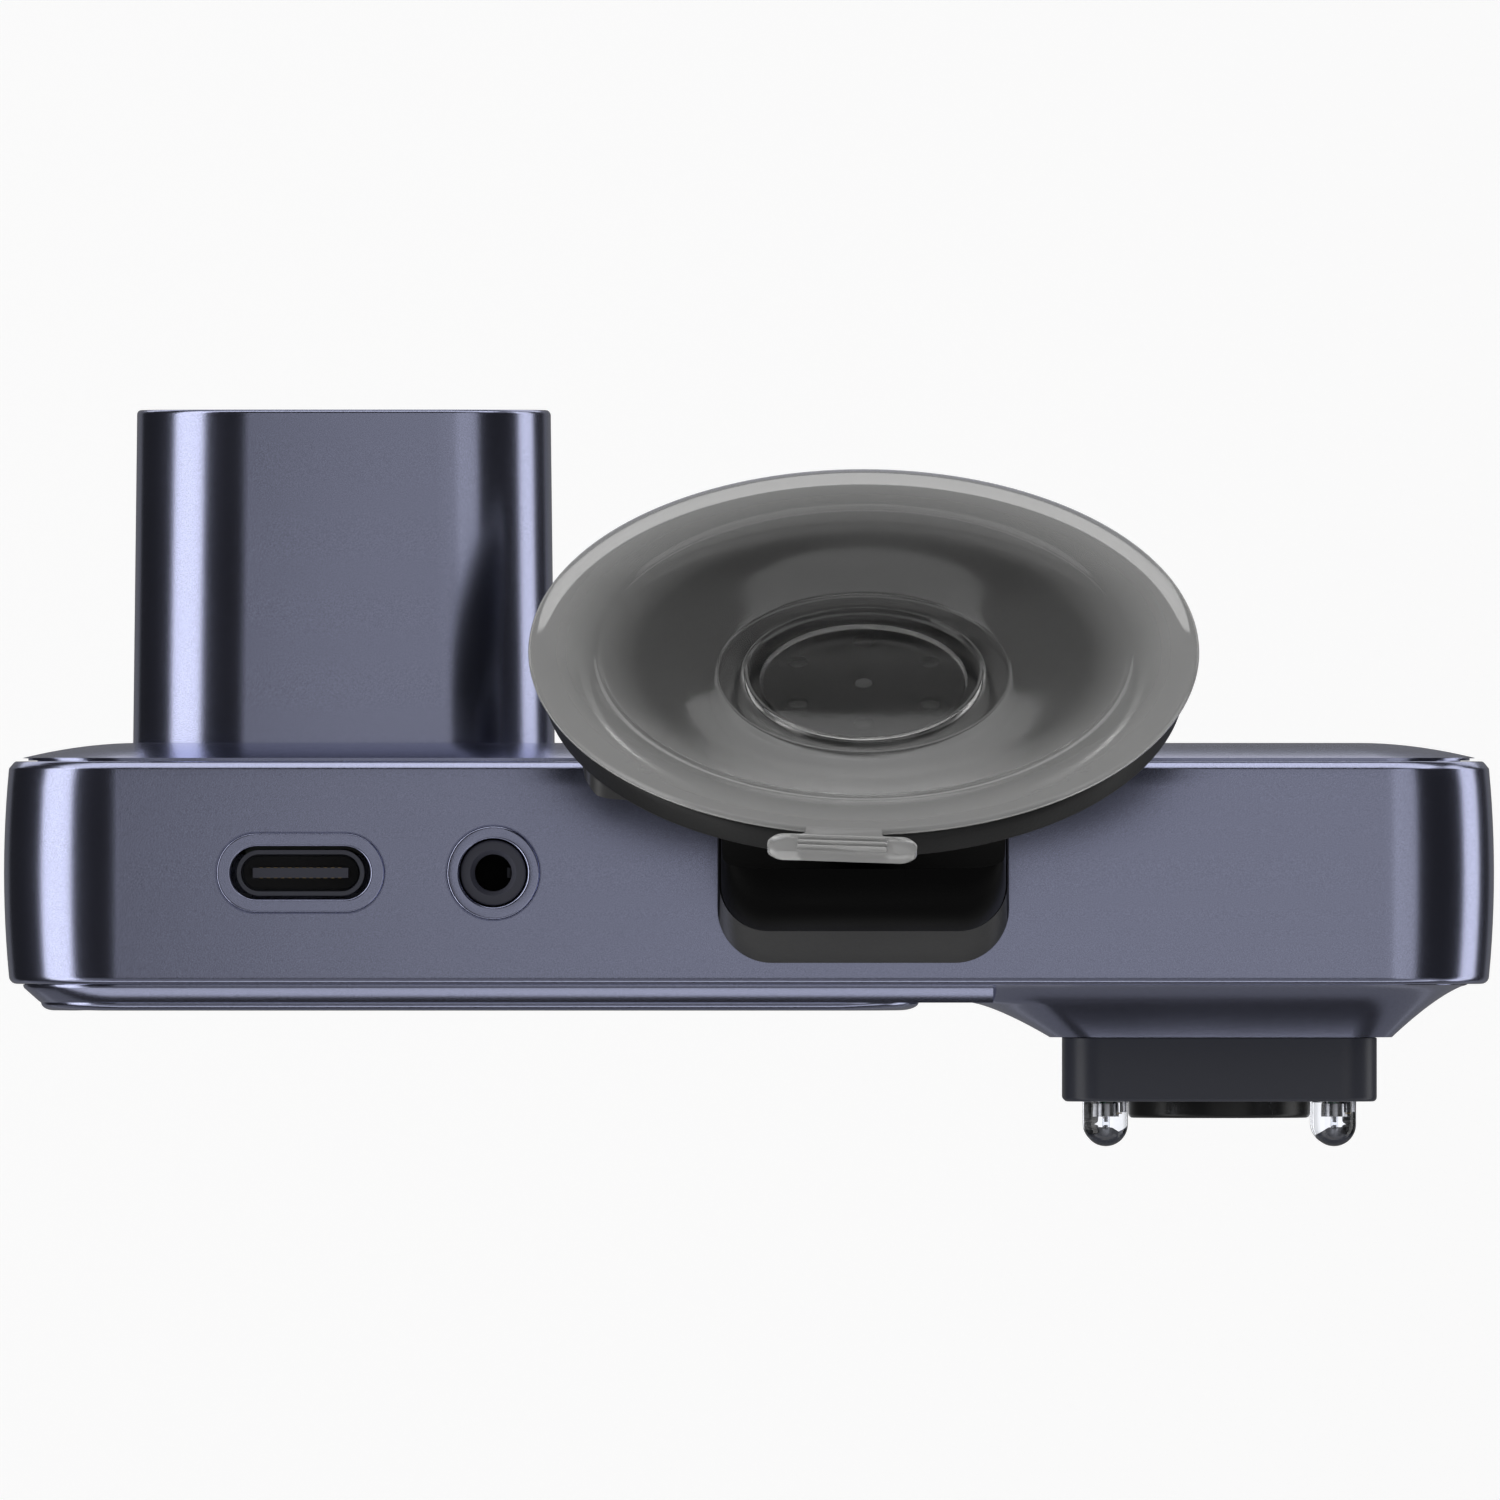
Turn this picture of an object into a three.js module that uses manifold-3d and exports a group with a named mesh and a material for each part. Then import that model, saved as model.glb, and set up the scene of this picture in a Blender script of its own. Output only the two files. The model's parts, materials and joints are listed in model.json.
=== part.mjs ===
// A dash camera on a windscreen suction mount, in millimetres.
// +Y is the road ahead, +Z is up and +X is to the right of someone who faces the screen.
// The camera is modelled round the middle of its body. The whole part is then moved, so that its
// origin is the middle of the suction cup's sealing plane, which is what holds it up.
import * as THREE from "three";
import { mergeVertices } from "three/addons/utils/BufferGeometryUtils.js";
import Module from "manifold-3d";

const wasm = await Module();
wasm.setup();

// ---------------------------------------------------------------- driving dimensions

const fit = 0.15; // clearance between pieces that fit in or on each other
const hairline = 0.1; // seam round the flush port bezels
const through = 40; // how far a cutter runs past what it cuts

const body = { width: 104.5, height: 52, depth: 15.6, corner: 8, wall: 1.8, crown: 0.4, edge: 0.35 };
const cover = { inset: 1.35, seam: 0.05, lipDepth: 0.9, lipWidth: 1 };
const front = { thickness: 1.25, pillow: 8 };
const back = { thickness: 1.25, bevel: 1.25, frameRise: 0.56, frameBevel: 0.6 };
const ridge = {
  fromEdge: 0.5, width: 24, rise: 3.7, corner: 3, cove: 5.3, leftCove: 7.4, hollow: 15, power: 1.35,
};

const lensHousing = { x: -28.5, width: 29.6, taper: 0.55, reach: 24.7, corner: 8, wall: 1.7, flange: 1 };
const lensPlate = { recess: 1.5, thickness: 1.4, ledge: 0.6, hole: 8.75 };
const lensRing = { flange: 10.2, height: 0.9, tube: 8.6, throat: 7 };
const lensTube = { head: 8.5, thread: 5.85, glass: 6.7, bore: 4.6, length: 23 };
const lensHolder = { width: 14.2, boss: 7, height: 10.4, pocket: 10 };

const usb = { x: -31.4, bezelLong: 11.8, bezelShort: 5.56, openLong: 9.8, openShort: 3.7 };
const usbShell = { long: 8.94, short: 3.2, wall: 0.3, depth: 7.4, recess: 0.5 };
const usbTongue = { long: 6.69, thickness: 0.7, reach: 5.2 };
const av = { x: -17.9, bezelR: 3.28, openR: 2.4, hole: 1.3, bodyWidth: 5, bodyLength: 11.4 };
const bezelDepth = 1.1;

const board = { y: -3.1, thickness: 1.1, edgeGap: 1.55, topGap: 4.3, screwInset: 3.2, screwDrop: 6.8 };
const screw = { head: 1.6, headHeight: 0.9, shank: 0.8, length: 6 };
const post = { radius: 2.4, bore: 0.95 };

const screen = { side: 3.9, top: 2.65, overKeys: 1.8, glass: 1, panelMargin: 2.4, panelDepth: 1.8 };
const key = { count: 5, fromEnd: 5, fromSill: 4.75, long: 8, short: 3.4, flange: 0.7, travel: 0.4 };
const card = { width: 11, length: 15, thickness: 1, y: -5.3, proud: -0.4 };
const cardSocket = { width: 14.4, length: 15.5, thickness: 1.9 };

const cabin = { width: 22.05, corner: 2.7, reach: 4.55, wall: 1.1, ringR: 6.4, ringReach: 1.19 };
const cabinLens = { glass: 3.4, tube: 5.2 };
const led = { spread: 8.02, radius: 1.55, flange: 1.75, reach: 3.15 };

const mount = { x: 8, tilt: 32.8, ballY: 1.8, ballRise: 8.2, faceToBall: 16.54 };
const cup = {
  lip: 23.4, flat: 22.5, groove: 18.65, shoulder: 10.6, floor: 8.3, depth: 2.25, lipThickness: 0.7,
};
const tab = { turn: -3.5, width: 10.4, neck: 5.4, length: 2.9, thickness: 0.75, corner: 1, ribs: 3 };
const insert = { radius: 7.2, thickness: 0.9, skin: 0.9, stem: 2.6, travel: 1, pin: 0.5, pinReach: 7.4 };
const dish = {
  radius: 22.4, rimFront: 1.1, rimBack: 2.95, hub: 12,
  webFront: 5.55, webBack: 6.75, tower: 5.4, towerEnd: 10.6,
};
const twist = {
  inner: 5.6, outer: 12.4, back: 10.3, turn: 60,
  wingTip: 19.9, wingWidth: 9.8, wingBack: 8, wingAngle: 186,
};
const ball = { radius: 4.2, neck: 2, flange: 6.8, plug: 3.6, liner: 0.5 };
const mouth = { out: 2.5, ringBack: 0.9, ringWall: 5.4 };
const foot = { width: 20.4, rear: -6.3, front: 7, corner: 3.8, skirt: 0.9, height: 2.8, rearTop: -4.06 };
const block = { width: 19.9, top: 15.2 };
const rail = { neck: 5.4, flange: 9.4, lip: 1.2, flangeHeight: 1.15, front: 5.6, rear: -5, floor: 1.5 };

// ---------------------------------------------------------------- values worked out from them

const frameFront = body.depth / 2;
const frameBack = -body.depth / 2;
const top = body.height / 2;
const cavityInset = body.wall + body.crown;
const cavity = { width: body.width - 2 * cavityInset, height: body.height - 2 * cavityInset };
const cavityCorner = body.corner - cavityInset;
const coverFront = frameFront + cover.seam + front.thickness;
const coverBack = frameBack - cover.seam - back.thickness;
const screenFace = coverBack - back.frameRise;
const housingTip = coverFront + lensHousing.reach - 1.3;
const boardBack = board.y - board.thickness;
const coverEdge = body.width / 2 - cover.inset;
const coverSill = body.height / 2 - cover.inset;
const ridgeTop = frameBack - cover.seam - ridge.rise;
const ridgeHeight = body.height - 2 * (cover.inset + ridge.cove);
const ridgeX = coverEdge - ridge.fromEdge - ridge.cove - ridge.width / 2;
const frameRight = ridgeX - ridge.width / 2 - ridge.leftCove - 1.8;
const tipWidth = lensHousing.width - lensHousing.taper;
const keyZ = key.fromSill - coverSill;
const screenLeft = screen.side - coverEdge;
const screenRight = frameRight - screen.side;
const screenLow = keyZ + key.short / 2 + screen.overKeys;
const screenTop = coverSill - screen.top;
const slotFloor = top - rail.lip - rail.flangeHeight - 2 * fit;

// ---------------------------------------------------------------- colours

const paint = {
  anodised: [0x3c3e52, 0.32, 0.9],
  shell: [0x3c3e52, 0.36, 0.7],
  black: [0x141416, 0.6, 0],
  gloss: [0x08080a, 0.15, 0],
  clearRubber: [0x8c8d8f, 0.25, 0],
  clearResin: [0xdfe3ee, 0.08, 0],
  glass: [0x101822, 0.05, 0],
  darkMetal: [0x1d1d20, 0.4, 0.9],
  steel: [0xb4b6ba, 0.3, 1],
  board: [0x1d4a33, 0.6, 0],
  chip: [0x1b1b1d, 0.5, 0],
  cell: [0x8494ae, 0.35, 0.8],
};

function material(slot) {
  const [color, roughness, metalness] = paint[slot];
  return new THREE.MeshStandardMaterial({ color, roughness, metalness });
}

// ---------------------------------------------------------------- solids

// A closed geometry as a manifold-3d solid, with its faces turned outwards.
function solidOf(geometry) {
  const loose = geometry.index ? geometry.toNonIndexed() : geometry.clone();
  loose.deleteAttribute("normal");
  loose.deleteAttribute("uv");
  const merged = mergeVertices(loose, 1e-4);
  const index = merged.index.array;
  const faces = [];
  for (let i = 0; i < index.length; i += 3) {
    const [a, b, c] = [index[i], index[i + 1], index[i + 2]];
    if (a !== b && b !== c && c !== a) faces.push([a, b, c]);
  }
  const build = (list) =>
    new wasm.Manifold(
      new wasm.Mesh({
        numProp: 3,
        vertProperties: merged.attributes.position.array,
        triVerts: new Uint32Array(list.flat()),
      }),
    );
  const made = build(faces);
  return made.volume() < 0 ? build(faces.map(([a, b, c]) => [a, c, b])) : made;
}

// How an outline's (a, b) and its height c become x, y, z, for a loft along each axis.
const alongX = (a, b, c) => [c, a, b];
const alongY = (a, b, c) => [a, c, b];
const alongZ = (a, b, c) => [a, b, c];

function anticlockwise(outline) {
  const area = THREE.ShapeUtils.area(outline.map(([a, b]) => new THREE.Vector2(a, b)));
  return area < 0 ? [...outline].reverse() : outline;
}

// A closed skin through stations {at, outline}, whose outlines have equal numbers of points.
function loft(stations, place) {
  const levels = stations.map(({ at, outline }) => ({ at, outline: anticlockwise(outline) }));
  const count = levels[0].outline.length;
  const positions = levels.flatMap(({ at, outline }) => outline.flatMap(([a, b]) => place(a, b, at)));
  const index = [];
  for (let level = 0; level < levels.length - 1; level++) {
    for (let i = 0; i < count; i++) {
      const low = level * count;
      const high = low + count;
      const j = (i + 1) % count;
      index.push(low + i, low + j, high + j, low + i, high + j, high + i);
    }
  }
  const cap = (outline, base, turned) => {
    const contour = outline.map(([a, b]) => new THREE.Vector2(a, b));
    for (const [p, q, r] of THREE.ShapeUtils.triangulateShape(contour, [])) {
      index.push(base + p, base + (turned ? r : q), base + (turned ? q : r));
    }
  };
  cap(levels[0].outline, 0, true);
  cap(levels.at(-1).outline, (levels.length - 1) * count, false);
  const geometry = new THREE.BufferGeometry();
  geometry.setAttribute("position", new THREE.Float32BufferAttribute(positions, 3));
  geometry.setIndex(index);
  return solidOf(geometry);
}

// A rectangle with round corners, anticlockwise, between two corners.
function rounded(left, low, right, high, radius, steps = 6) {
  const r = Math.max(Math.min(radius, (right - left) / 2 - 0.01, (high - low) / 2 - 0.01), 0.02);
  const centres = [
    [right - r, high - r],
    [left + r, high - r],
    [left + r, low + r],
    [right - r, low + r],
  ];
  return centres.flatMap(([x, y], corner) =>
    Array.from({ length: steps + 1 }, (_, i) => {
      const angle = (corner + i / steps) * (Math.PI / 2);
      return [x + r * Math.cos(angle), y + r * Math.sin(angle)];
    }),
  );
}

const centred = (x, y, width, height, radius, steps) =>
  rounded(x - width / 2, y - height / 2, x + width / 2, y + height / 2, radius, steps);

const prism = (outline, from, to, place) =>
  loft([{ at: from, outline }, { at: to, outline }], place);

function box(x0, y0, z0, x1, y1, z1) {
  const geometry = new THREE.BoxGeometry(x1 - x0, y1 - y0, z1 - z0);
  geometry.translate((x0 + x1) / 2, (y0 + y1) / 2, (z0 + z1) / 2);
  return solidOf(geometry);
}

// A turned piece about local Z, from its closed outline of [radius, height].
function turned(outline, segments = 24) {
  const points = outline.map(([r, h]) => new THREE.Vector2(r, h));
  const closed = outline[0][0] === 0 && outline.at(-1)[0] === 0;
  if (!closed) points.push(points[0].clone());
  const geometry = new THREE.LatheGeometry(points, segments);
  geometry.rotateX(Math.PI / 2);
  return solidOf(geometry);
}

// The same piece turned about an axis that runs along +Y through x, z.
function turnedY(outline, x, z, segments) {
  return turned(outline, segments).rotate([-90, 0, 0]).translate([x, 0, z]);
}

const rod = (radius, from, to, segments = 16) =>
  turned([[0, from], [radius, from], [radius, to], [0, to]], segments);

function rodY(radius, x, z, from, to, segments = 16) {
  return rod(radius, from, to, segments).rotate([-90, 0, 0]).translate([x, 0, z]);
}

function rodZ(radius, x, y, from, to, segments = 16) {
  return rod(radius, from, to, segments).translate([x, y, 0]);
}

function sphere(radius, segments = 24) {
  return solidOf(new THREE.SphereGeometry(radius, segments, segments / 2));
}

const joined = (first, ...rest) => rest.reduce((sum, next) => sum.add(next), first);
const cut = (first, ...tools) => tools.reduce((left, tool) => left.subtract(tool), first);

function mesh(name, slot, solid) {
  const made = solid.getMesh();
  const positions = new Float32Array(made.numVert * 3);
  for (let i = 0; i < made.numVert; i++) {
    const start = i * made.numProp;
    positions.set(made.vertProperties.subarray(start, start + 3), i * 3);
  }
  const geometry = new THREE.BufferGeometry();
  geometry.setAttribute("position", new THREE.BufferAttribute(positions, 3));
  geometry.setIndex(new THREE.BufferAttribute(made.triVerts, 1));
  const flat = geometry.toNonIndexed();
  flat.computeVertexNormals();
  const piece = new THREE.Mesh(flat, material(slot));
  piece.name = name;
  return piece;
}

// ---------------------------------------------------------------- body shells

// The body's outline in X and Z, taken in by inset all round.
function bodyOutline(inset, steps) {
  return centred(0, 0, body.width - 2 * inset, body.height - 2 * inset, body.corner - inset, steps);
}

// The block under the frame's top wall that the mount's rail slot is cut in.
function railBoss(clearance) {
  const half = rail.flange / 2 + fit + 1.5 + clearance;
  const low = slotFloor - rail.floor - clearance;
  const ceiling = top - body.crown - 0.2;
  return box(mount.x - half, rail.rear - 1.2, low, mount.x + half, frameFront - 0.05 + clearance, ceiling);
}

function railSlot() {
  const start = rail.rear - fit;
  const neck = rail.neck / 2 + fit;
  const flange = rail.flange / 2 + fit;
  const ceiling = top - rail.lip;
  return joined(
    box(mount.x - neck, start, slotFloor, mount.x + neck, through, top + 1),
    box(mount.x - flange, start, slotFloor, mount.x + flange, through, ceiling),
  );
}

function midFrame() {
  const sideInset = (y) => body.crown * (2 * y / body.depth) ** 2;
  const chamferStart = frameFront - body.edge;
  const stations = [-chamferStart, -body.depth / 4, 0, body.depth / 4, chamferStart];
  const level = (y, extra) => ({ at: y, outline: bodyOutline(sideInset(y) + extra, 8) });
  const levels = [
    level(frameBack, body.edge),
    ...stations.map((y) => level(y, 0)),
    level(frameFront, body.edge),
  ];
  const hollow = centred(0, 0, cavity.width, cavity.height, cavityCorner, 8);
  const shell = cut(loft(levels, alongY), prism(hollow, -through, through, alongY));
  const cardY = card.y;
  const cardSlot = centred(cardY, 0, card.thickness + 0.6, card.width + 0.8, 0.6, 3);
  const speakerSlots = [-2, -1, 0, 1, 2].map((i) =>
    prism(
      centred(speakerAt.x + i * 2.2, speakerAt.y, 0.9, 7 - Math.abs(i), 0.45, 3),
      -top - 1, -top + 3, alongZ,
    ),
  );
  return cut(
    joined(shell, railBoss(0)),
    railSlot(),
    prism(usbOutline(usb.bezelLong, usb.bezelShort, hairline), top - bezelDepth - fit, top + 1, alongZ),
    prism(usbOutline(usb.openLong, usb.openShort, 0), top - 4, top + 1, alongZ),
    rodZ(av.bezelR + hairline, av.x, 0, top - bezelDepth - fit, top + 1, 24),
    rodZ(av.openR, av.x, 0, top - 4, top + 1, 24),
    prism(cardSlot, -body.width / 2 - 1, -body.width / 2 + 4, alongX),
    rodZ(0.6, micAt.x, 0, -top - 1, -top + 3, 8),
    ...speakerSlots,
  );
}

const speakerAt = { x: 24, y: 0.9, radius: 5.6, height: 3.4 };
const micAt = { x: -12, radius: 2, height: 1.4 };

// The ring on a cover's inside that locates it in the frame's cavity.
function coverLip(from, to) {
  const ring = (inset) => {
    const gap = 2 * (fit + inset);
    return centred(0, 0, cavity.width - gap, cavity.height - gap, cavityCorner - inset, 8);
  };
  return cut(prism(ring(0), from, to, alongY), prism(ring(cover.lipWidth), -through, through, alongY));
}

const postX = cavity.width / 2 - board.screwInset;
const postZ = cavity.height / 2 - board.screwDrop;
const postPlaces = [-1, 1].flatMap((sx) => [-1, 1].map((sz) => [sx * postX, sz * postZ]));

function frontCover() {
  const seat = frameFront + cover.seam;
  const profile = [[0, 0], [0.12, 0], [0.7, 0.3], [1.05, 0.63], [1.25, 1]];
  const levels = profile.map(([rise, share]) => ({
    at: seat + rise * (front.thickness / 1.25),
    outline: centred(
      0,
      0,
      body.width - 2 * (cover.inset + share * front.pillow),
      body.height - 2 * (cover.inset + share * front.pillow),
      body.corner - cover.inset - share * 3,
      8,
    ),
  }));
  const open = lensHousing.width + 2 * fit;
  const opening = centred(lensHousing.x, 0, open, open, lensHousing.corner);
  const posts = postPlaces.map(([x, z]) => rodY(post.radius, x, z, board.y + fit, seat + 0.2));
  const boreEnd = board.y + screw.length + 0.5;
  const bores = postPlaces.map(([x, z]) => rodY(post.bore, x, z, board.y - 1, boreEnd, 10));
  const plate = joined(loft(levels, alongY), coverLip(seat - cover.lipDepth, seat + 0.1), ...posts);
  return cut(plate, ...bores, prism(opening, -through, through, alongY), railSlot(), railBoss(fit));
}

// How far the ridge spreads past its top at height rise of its cove, from base to top.
function coveSpread(rise, height, width) {
  return width * (1 - (Math.min(Math.max(rise, 0), height) / height) ** (1 / ridge.power));
}

function ridgeSolid() {
  const base = frameBack - cover.seam;
  const flatDrop = back.thickness;
  const leftBase = ridge.leftCove - 1.8;
  const steps = 7;
  const levels = Array.from({ length: steps + 1 }, (_, i) => {
    const rise = ridge.rise * (i / steps);
    const spread = coveSpread(rise, ridge.rise, ridge.cove);
    const left =
      rise < flatDrop
        ? ridge.leftCove - (ridge.leftCove - leftBase) * (rise / flatDrop)
        : coveSpread(rise - flatDrop, ridge.rise - flatDrop, leftBase);
    const high = ridgeHeight / 2 + spread;
    const corner = ridge.corner + (body.corner - cover.inset - ridge.corner) * (spread / ridge.cove);
    return {
      at: base - rise,
      outline: rounded(
        ridgeX - ridge.width / 2 - left,
        -high,
        ridgeX + ridge.width / 2 + spread,
        high,
        corner,
      ),
    };
  });
  return loft(levels, alongY);
}

function rearCover() {
  const base = frameBack - cover.seam;
  const edge = coverEdge;
  const sill = coverSill;
  const rightEnd = ridgeX - ridge.width / 2 - 4;
  const corner = body.corner - cover.inset;
  const plateLevel = (at, inset) => ({
    at,
    outline: rounded(-edge + inset, -sill + inset, edge - inset, sill - inset, corner - inset, 8),
  });
  const plate = loft(
    [plateLevel(base, 0), plateLevel(base - 0.1, 0), plateLevel(coverBack, back.bevel)],
    alongY,
  );
  const leftPart = cut(plate, box(rightEnd, -through, -through, through * 2, through, through));
  const rise = [[0, 0], [0.25, back.frameBevel * 0.3], [back.frameRise, back.frameBevel * 1.5]];
  const screenFrame = loft(
    rise.map(([out, taken]) => ({
      at: coverBack + (out === 0 ? 0.2 : -out),
      outline: rounded(
        -edge + back.bevel + taken,
        -sill + back.bevel + taken,
        frameRight - taken * 1.5,
        sill - back.bevel - taken,
        corner - back.bevel,
        8,
      ),
    })),
    alongY,
  );
  const pocket = screenOutline(-fit, 1.6);
  const window = screenOutline(screen.panelMargin - fit, 0.8);
  const pocketFloor = screenFace + screen.glass + 0.08 + fit / 2;
  const hollow = centred(ridgeX, 0, ridge.hollow + 2, ridge.hollow + 10, 2, 3);
  const keyHoles = keyPlaces.map((x) =>
    prism(
      centred(x, keyZ, key.long + 2 * fit, key.short + 2 * fit, key.short / 2 + fit, 4),
      -through, 0, alongY,
    ),
  );
  return cut(
    joined(leftPart, screenFrame, ridgeSolid(), coverLip(base - 0.1, base + cover.lipDepth)),
    prism(pocket, pocketFloor, -through, alongY),
    prism(window, -through, 0, alongY),
    prism(hollow, ridgeTop + 1.3, 0, alongY),
    rodY(cabinLens.tube + fit, ridgeX, 0, -through, 0, 24),
    ...keyHoles,
  );
}

// ---------------------------------------------------------------- front lens

function lensHousingSolid() {
  const square = (width, corner) => centred(lensHousing.x, 0, width, width, corner);
  const { width, corner, wall, flange } = lensHousing;
  const root = frameFront - 0.2;
  const outer = loft(
    [
      { at: root - 2.4, outline: square(width + 2 * flange, corner) },
      { at: root, outline: square(width + 2 * flange, corner) },
      { at: root + 0.001, outline: square(width, corner) },
      { at: coverFront, outline: square(width, corner) },
      { at: housingTip - 0.3, outline: square(tipWidth, corner) },
      { at: housingTip, outline: square(tipWidth - 0.5, corner - 0.2) },
    ],
    alongY,
  );
  const plateBack = housingTip - lensPlate.recess - lensPlate.thickness - fit;
  const inner = square(tipWidth - 2 * wall - 2 * lensPlate.ledge, corner - wall - lensPlate.ledge);
  const seat = square(tipWidth - 2 * wall, corner - wall);
  return cut(outer, prism(inner, -through, through, alongY), prism(seat, plateBack, through, alongY));
}

const plateFront = housingTip - lensPlate.recess;

function lensFrontPlate() {
  const width = tipWidth - 2 * lensHousing.wall - 2 * fit;
  const outline = centred(lensHousing.x, 0, width, width, lensHousing.corner - lensHousing.wall - fit);
  const plate = prism(outline, plateFront - lensPlate.thickness, plateFront, alongY);
  return cut(plate, rodY(lensPlate.hole, lensHousing.x, 0, -through, through, 32));
}

function lensRingSolid() {
  const back = plateFront - lensPlate.thickness - 0.4;
  const face = plateFront + fit / 2 + lensRing.height;
  const outline = [
    [lensRing.throat, back],
    [lensRing.tube, back],
    [lensRing.tube, plateFront + fit / 2],
    [lensRing.flange, plateFront + fit / 2],
    [lensRing.flange, face - 0.2],
    [lensRing.flange - 0.3, face],
    [lensRing.flange - 0.9, face],
    [lensRing.throat, face - 1.6],
  ];
  return turnedY(outline, lensHousing.x, 0, 24);
}

const tubeFront = plateFront - lensPlate.thickness - 0.6;
const tubeBack = tubeFront - lensTube.length;

function lensTubeSolid() {
  const step = tubeBack + 7.4;
  const outline = [
    [lensTube.bore, tubeBack],
    [lensTube.thread, tubeBack],
    [lensTube.thread, step],
    [lensTube.head, step + 0.8],
    [lensTube.head, tubeFront],
    [lensTube.glass + fit, tubeFront],
    [lensTube.glass + fit, tubeFront - 2.6],
    [lensTube.glass - 1, tubeFront - 2.8],
    [lensTube.bore + 0.8, step + 2],
    [lensTube.bore, step],
  ];
  return turnedY(outline, lensHousing.x, 0, 24);
}

function lensGlassSolid() {
  const back = tubeFront - 2.4;
  const radius = lensTube.glass;
  const rim = tubeFront - 0.1;
  const dome = [0.97, 0.8, 0.55, 0.28].map((share) => [radius * share, rim + 1.5 * (1 - share * share)]);
  return turnedY([[0, back], [radius, back], [radius, rim], ...dome, [0, rim + 1.5]], lensHousing.x, 0, 32);
}

function lensRearElement() {
  const radius = lensTube.bore - fit;
  const start = tubeBack + 1.2;
  const outline = [
    [0, start - 0.3], [radius * 0.6, start], [radius, start + 0.6], [radius, start + 2], [0, start + 2.4],
  ];
  return turnedY(outline, lensHousing.x, 0, 16);
}

const holderBack = tubeBack - 3.6;

function lensHolderSolid() {
  const { width, boss, height, pocket } = lensHolder;
  const base = prism(centred(lensHousing.x, 0, width, width, 1.5, 3), holderBack, holderBack + 3, alongY);
  const hollow = centred(lensHousing.x, 0, pocket, pocket, 0.5, 2);
  const inside = prism(hollow, holderBack - 1, holderBack + 2.2, alongY);
  return cut(
    joined(base, rodY(boss, lensHousing.x, 0, holderBack + 2.5, holderBack + height, 24)),
    inside,
    rodY(lensTube.thread + fit, lensHousing.x, 0, holderBack + 2, through, 24),
  );
}

function sensorBoard() {
  const edge = lensHolder.width + 1.6;
  return prism(centred(lensHousing.x, 0, edge, edge, 1, 2), holderBack - 1.15, holderBack - fit, alongY);
}

function imageSensor() {
  const edge = lensHolder.pocket - 2;
  return prism(centred(lensHousing.x, 0, edge, edge, 0.3, 1), holderBack, holderBack + 0.9, alongY);
}

// ---------------------------------------------------------------- ports

function usbOutline(long, short, grow) {
  return centred(usb.x, 0, long + 2 * grow, short + 2 * grow, short / 2 + grow, 6);
}

const bezelTop = top - 0.02;

function usbBezel() {
  const plate = prism(usbOutline(usb.bezelLong, usb.bezelShort, 0), top - bezelDepth, bezelTop, alongZ);
  return cut(plate, prism(usbOutline(usb.openLong, usb.openShort, 0), -through, through, alongZ));
}

function usbShellSolid() {
  const mouthAt = top - usbShell.recess;
  const end = mouthAt - usbShell.depth;
  const { long, short, wall } = usbShell;
  const can = prism(usbOutline(long, short, 0), end, mouthAt, alongZ);
  const legs = [-1, 1].map((side) => {
    const x = usb.x + side * (long / 2 - 0.6);
    return box(x - 0.4, board.y + fit, end + 1, x + 0.4, -short / 2 + 0.2, end + 3);
  });
  const inside = prism(usbOutline(long - 2 * wall, short - 2 * wall, 0), end + 0.4, mouthAt + 1, alongZ);
  return joined(cut(can, inside), ...legs);
}

function usbTongueSolid() {
  const floor = top - usbShell.recess - usbShell.depth + 0.4 + fit;
  const inner = usbShell.short - 2 * usbShell.wall - 2 * fit;
  const innerLong = usbShell.long - 2 * usbShell.wall - 2 * fit;
  const heel = prism(usbOutline(innerLong, inner, 0), floor, floor + 1.2, alongZ);
  const half = usbTongue.thickness / 2;
  const side = usbTongue.long / 2;
  const blade = box(usb.x - side, -half, floor, usb.x + side, half, floor + 1.2 + usbTongue.reach);
  return joined(heel, blade);
}

function avBezel() {
  const plate = rodZ(av.bezelR, av.x, 0, top - bezelDepth, bezelTop, 24);
  return cut(plate, rodZ(av.openR, av.x, 0, -through, through, 24));
}

function avSleeve() {
  const tube = rodZ(av.openR - hairline, av.x, 0, top - 4.3, top - 0.35, 24);
  return cut(tube, rodZ(av.hole, av.x, 0, -through, through, 16));
}

function avJackBody() {
  const ceiling = top - 4.45;
  const half = av.bodyWidth / 2;
  const shape = box(av.x - half, board.y + fit, ceiling - av.bodyLength, av.x + half, half, ceiling);
  return cut(shape, rodZ(av.hole, av.x, 0, ceiling - av.bodyLength + 1.2, through, 16));
}

// ---------------------------------------------------------------- board and what is on it

function mainBoard() {
  const width = cavity.width - 2 * board.edgeGap;
  const height = cavity.height - 2 * board.topGap;
  const plate = prism(centred(0, 0, width, height, 3, 4), boardBack, board.y, alongY);
  return cut(plate, ...postPlaces.map(([x, z]) => rodY(screw.shank + 0.2, x, z, -through, through, 10)));
}

function boardScrew(x, z) {
  const seat = boardBack - fit;
  const outline = [
    [0, seat - screw.headHeight],
    [screw.head * 0.8, seat - screw.headHeight],
    [screw.head, seat - screw.headHeight * 0.5],
    [screw.head, seat],
    [screw.shank, seat],
    [screw.shank, seat + screw.length],
    [0, seat + screw.length + 0.4],
  ];
  const driver = [0, 90].map((turn) =>
    solidOf(new THREE.BoxGeometry(1.8, 0.8, 0.4))
      .rotate([0, turn, 0])
      .translate([x, seat - screw.headHeight, z]),
  );
  return cut(turnedY(outline, x, z, 12), ...driver);
}

const chipAt = { x: -2, z: 0, width: 13, height: 1.3 };
const sinkAt = { width: 17, base: 1.2, fin: 2.8, fins: 5 };

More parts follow.
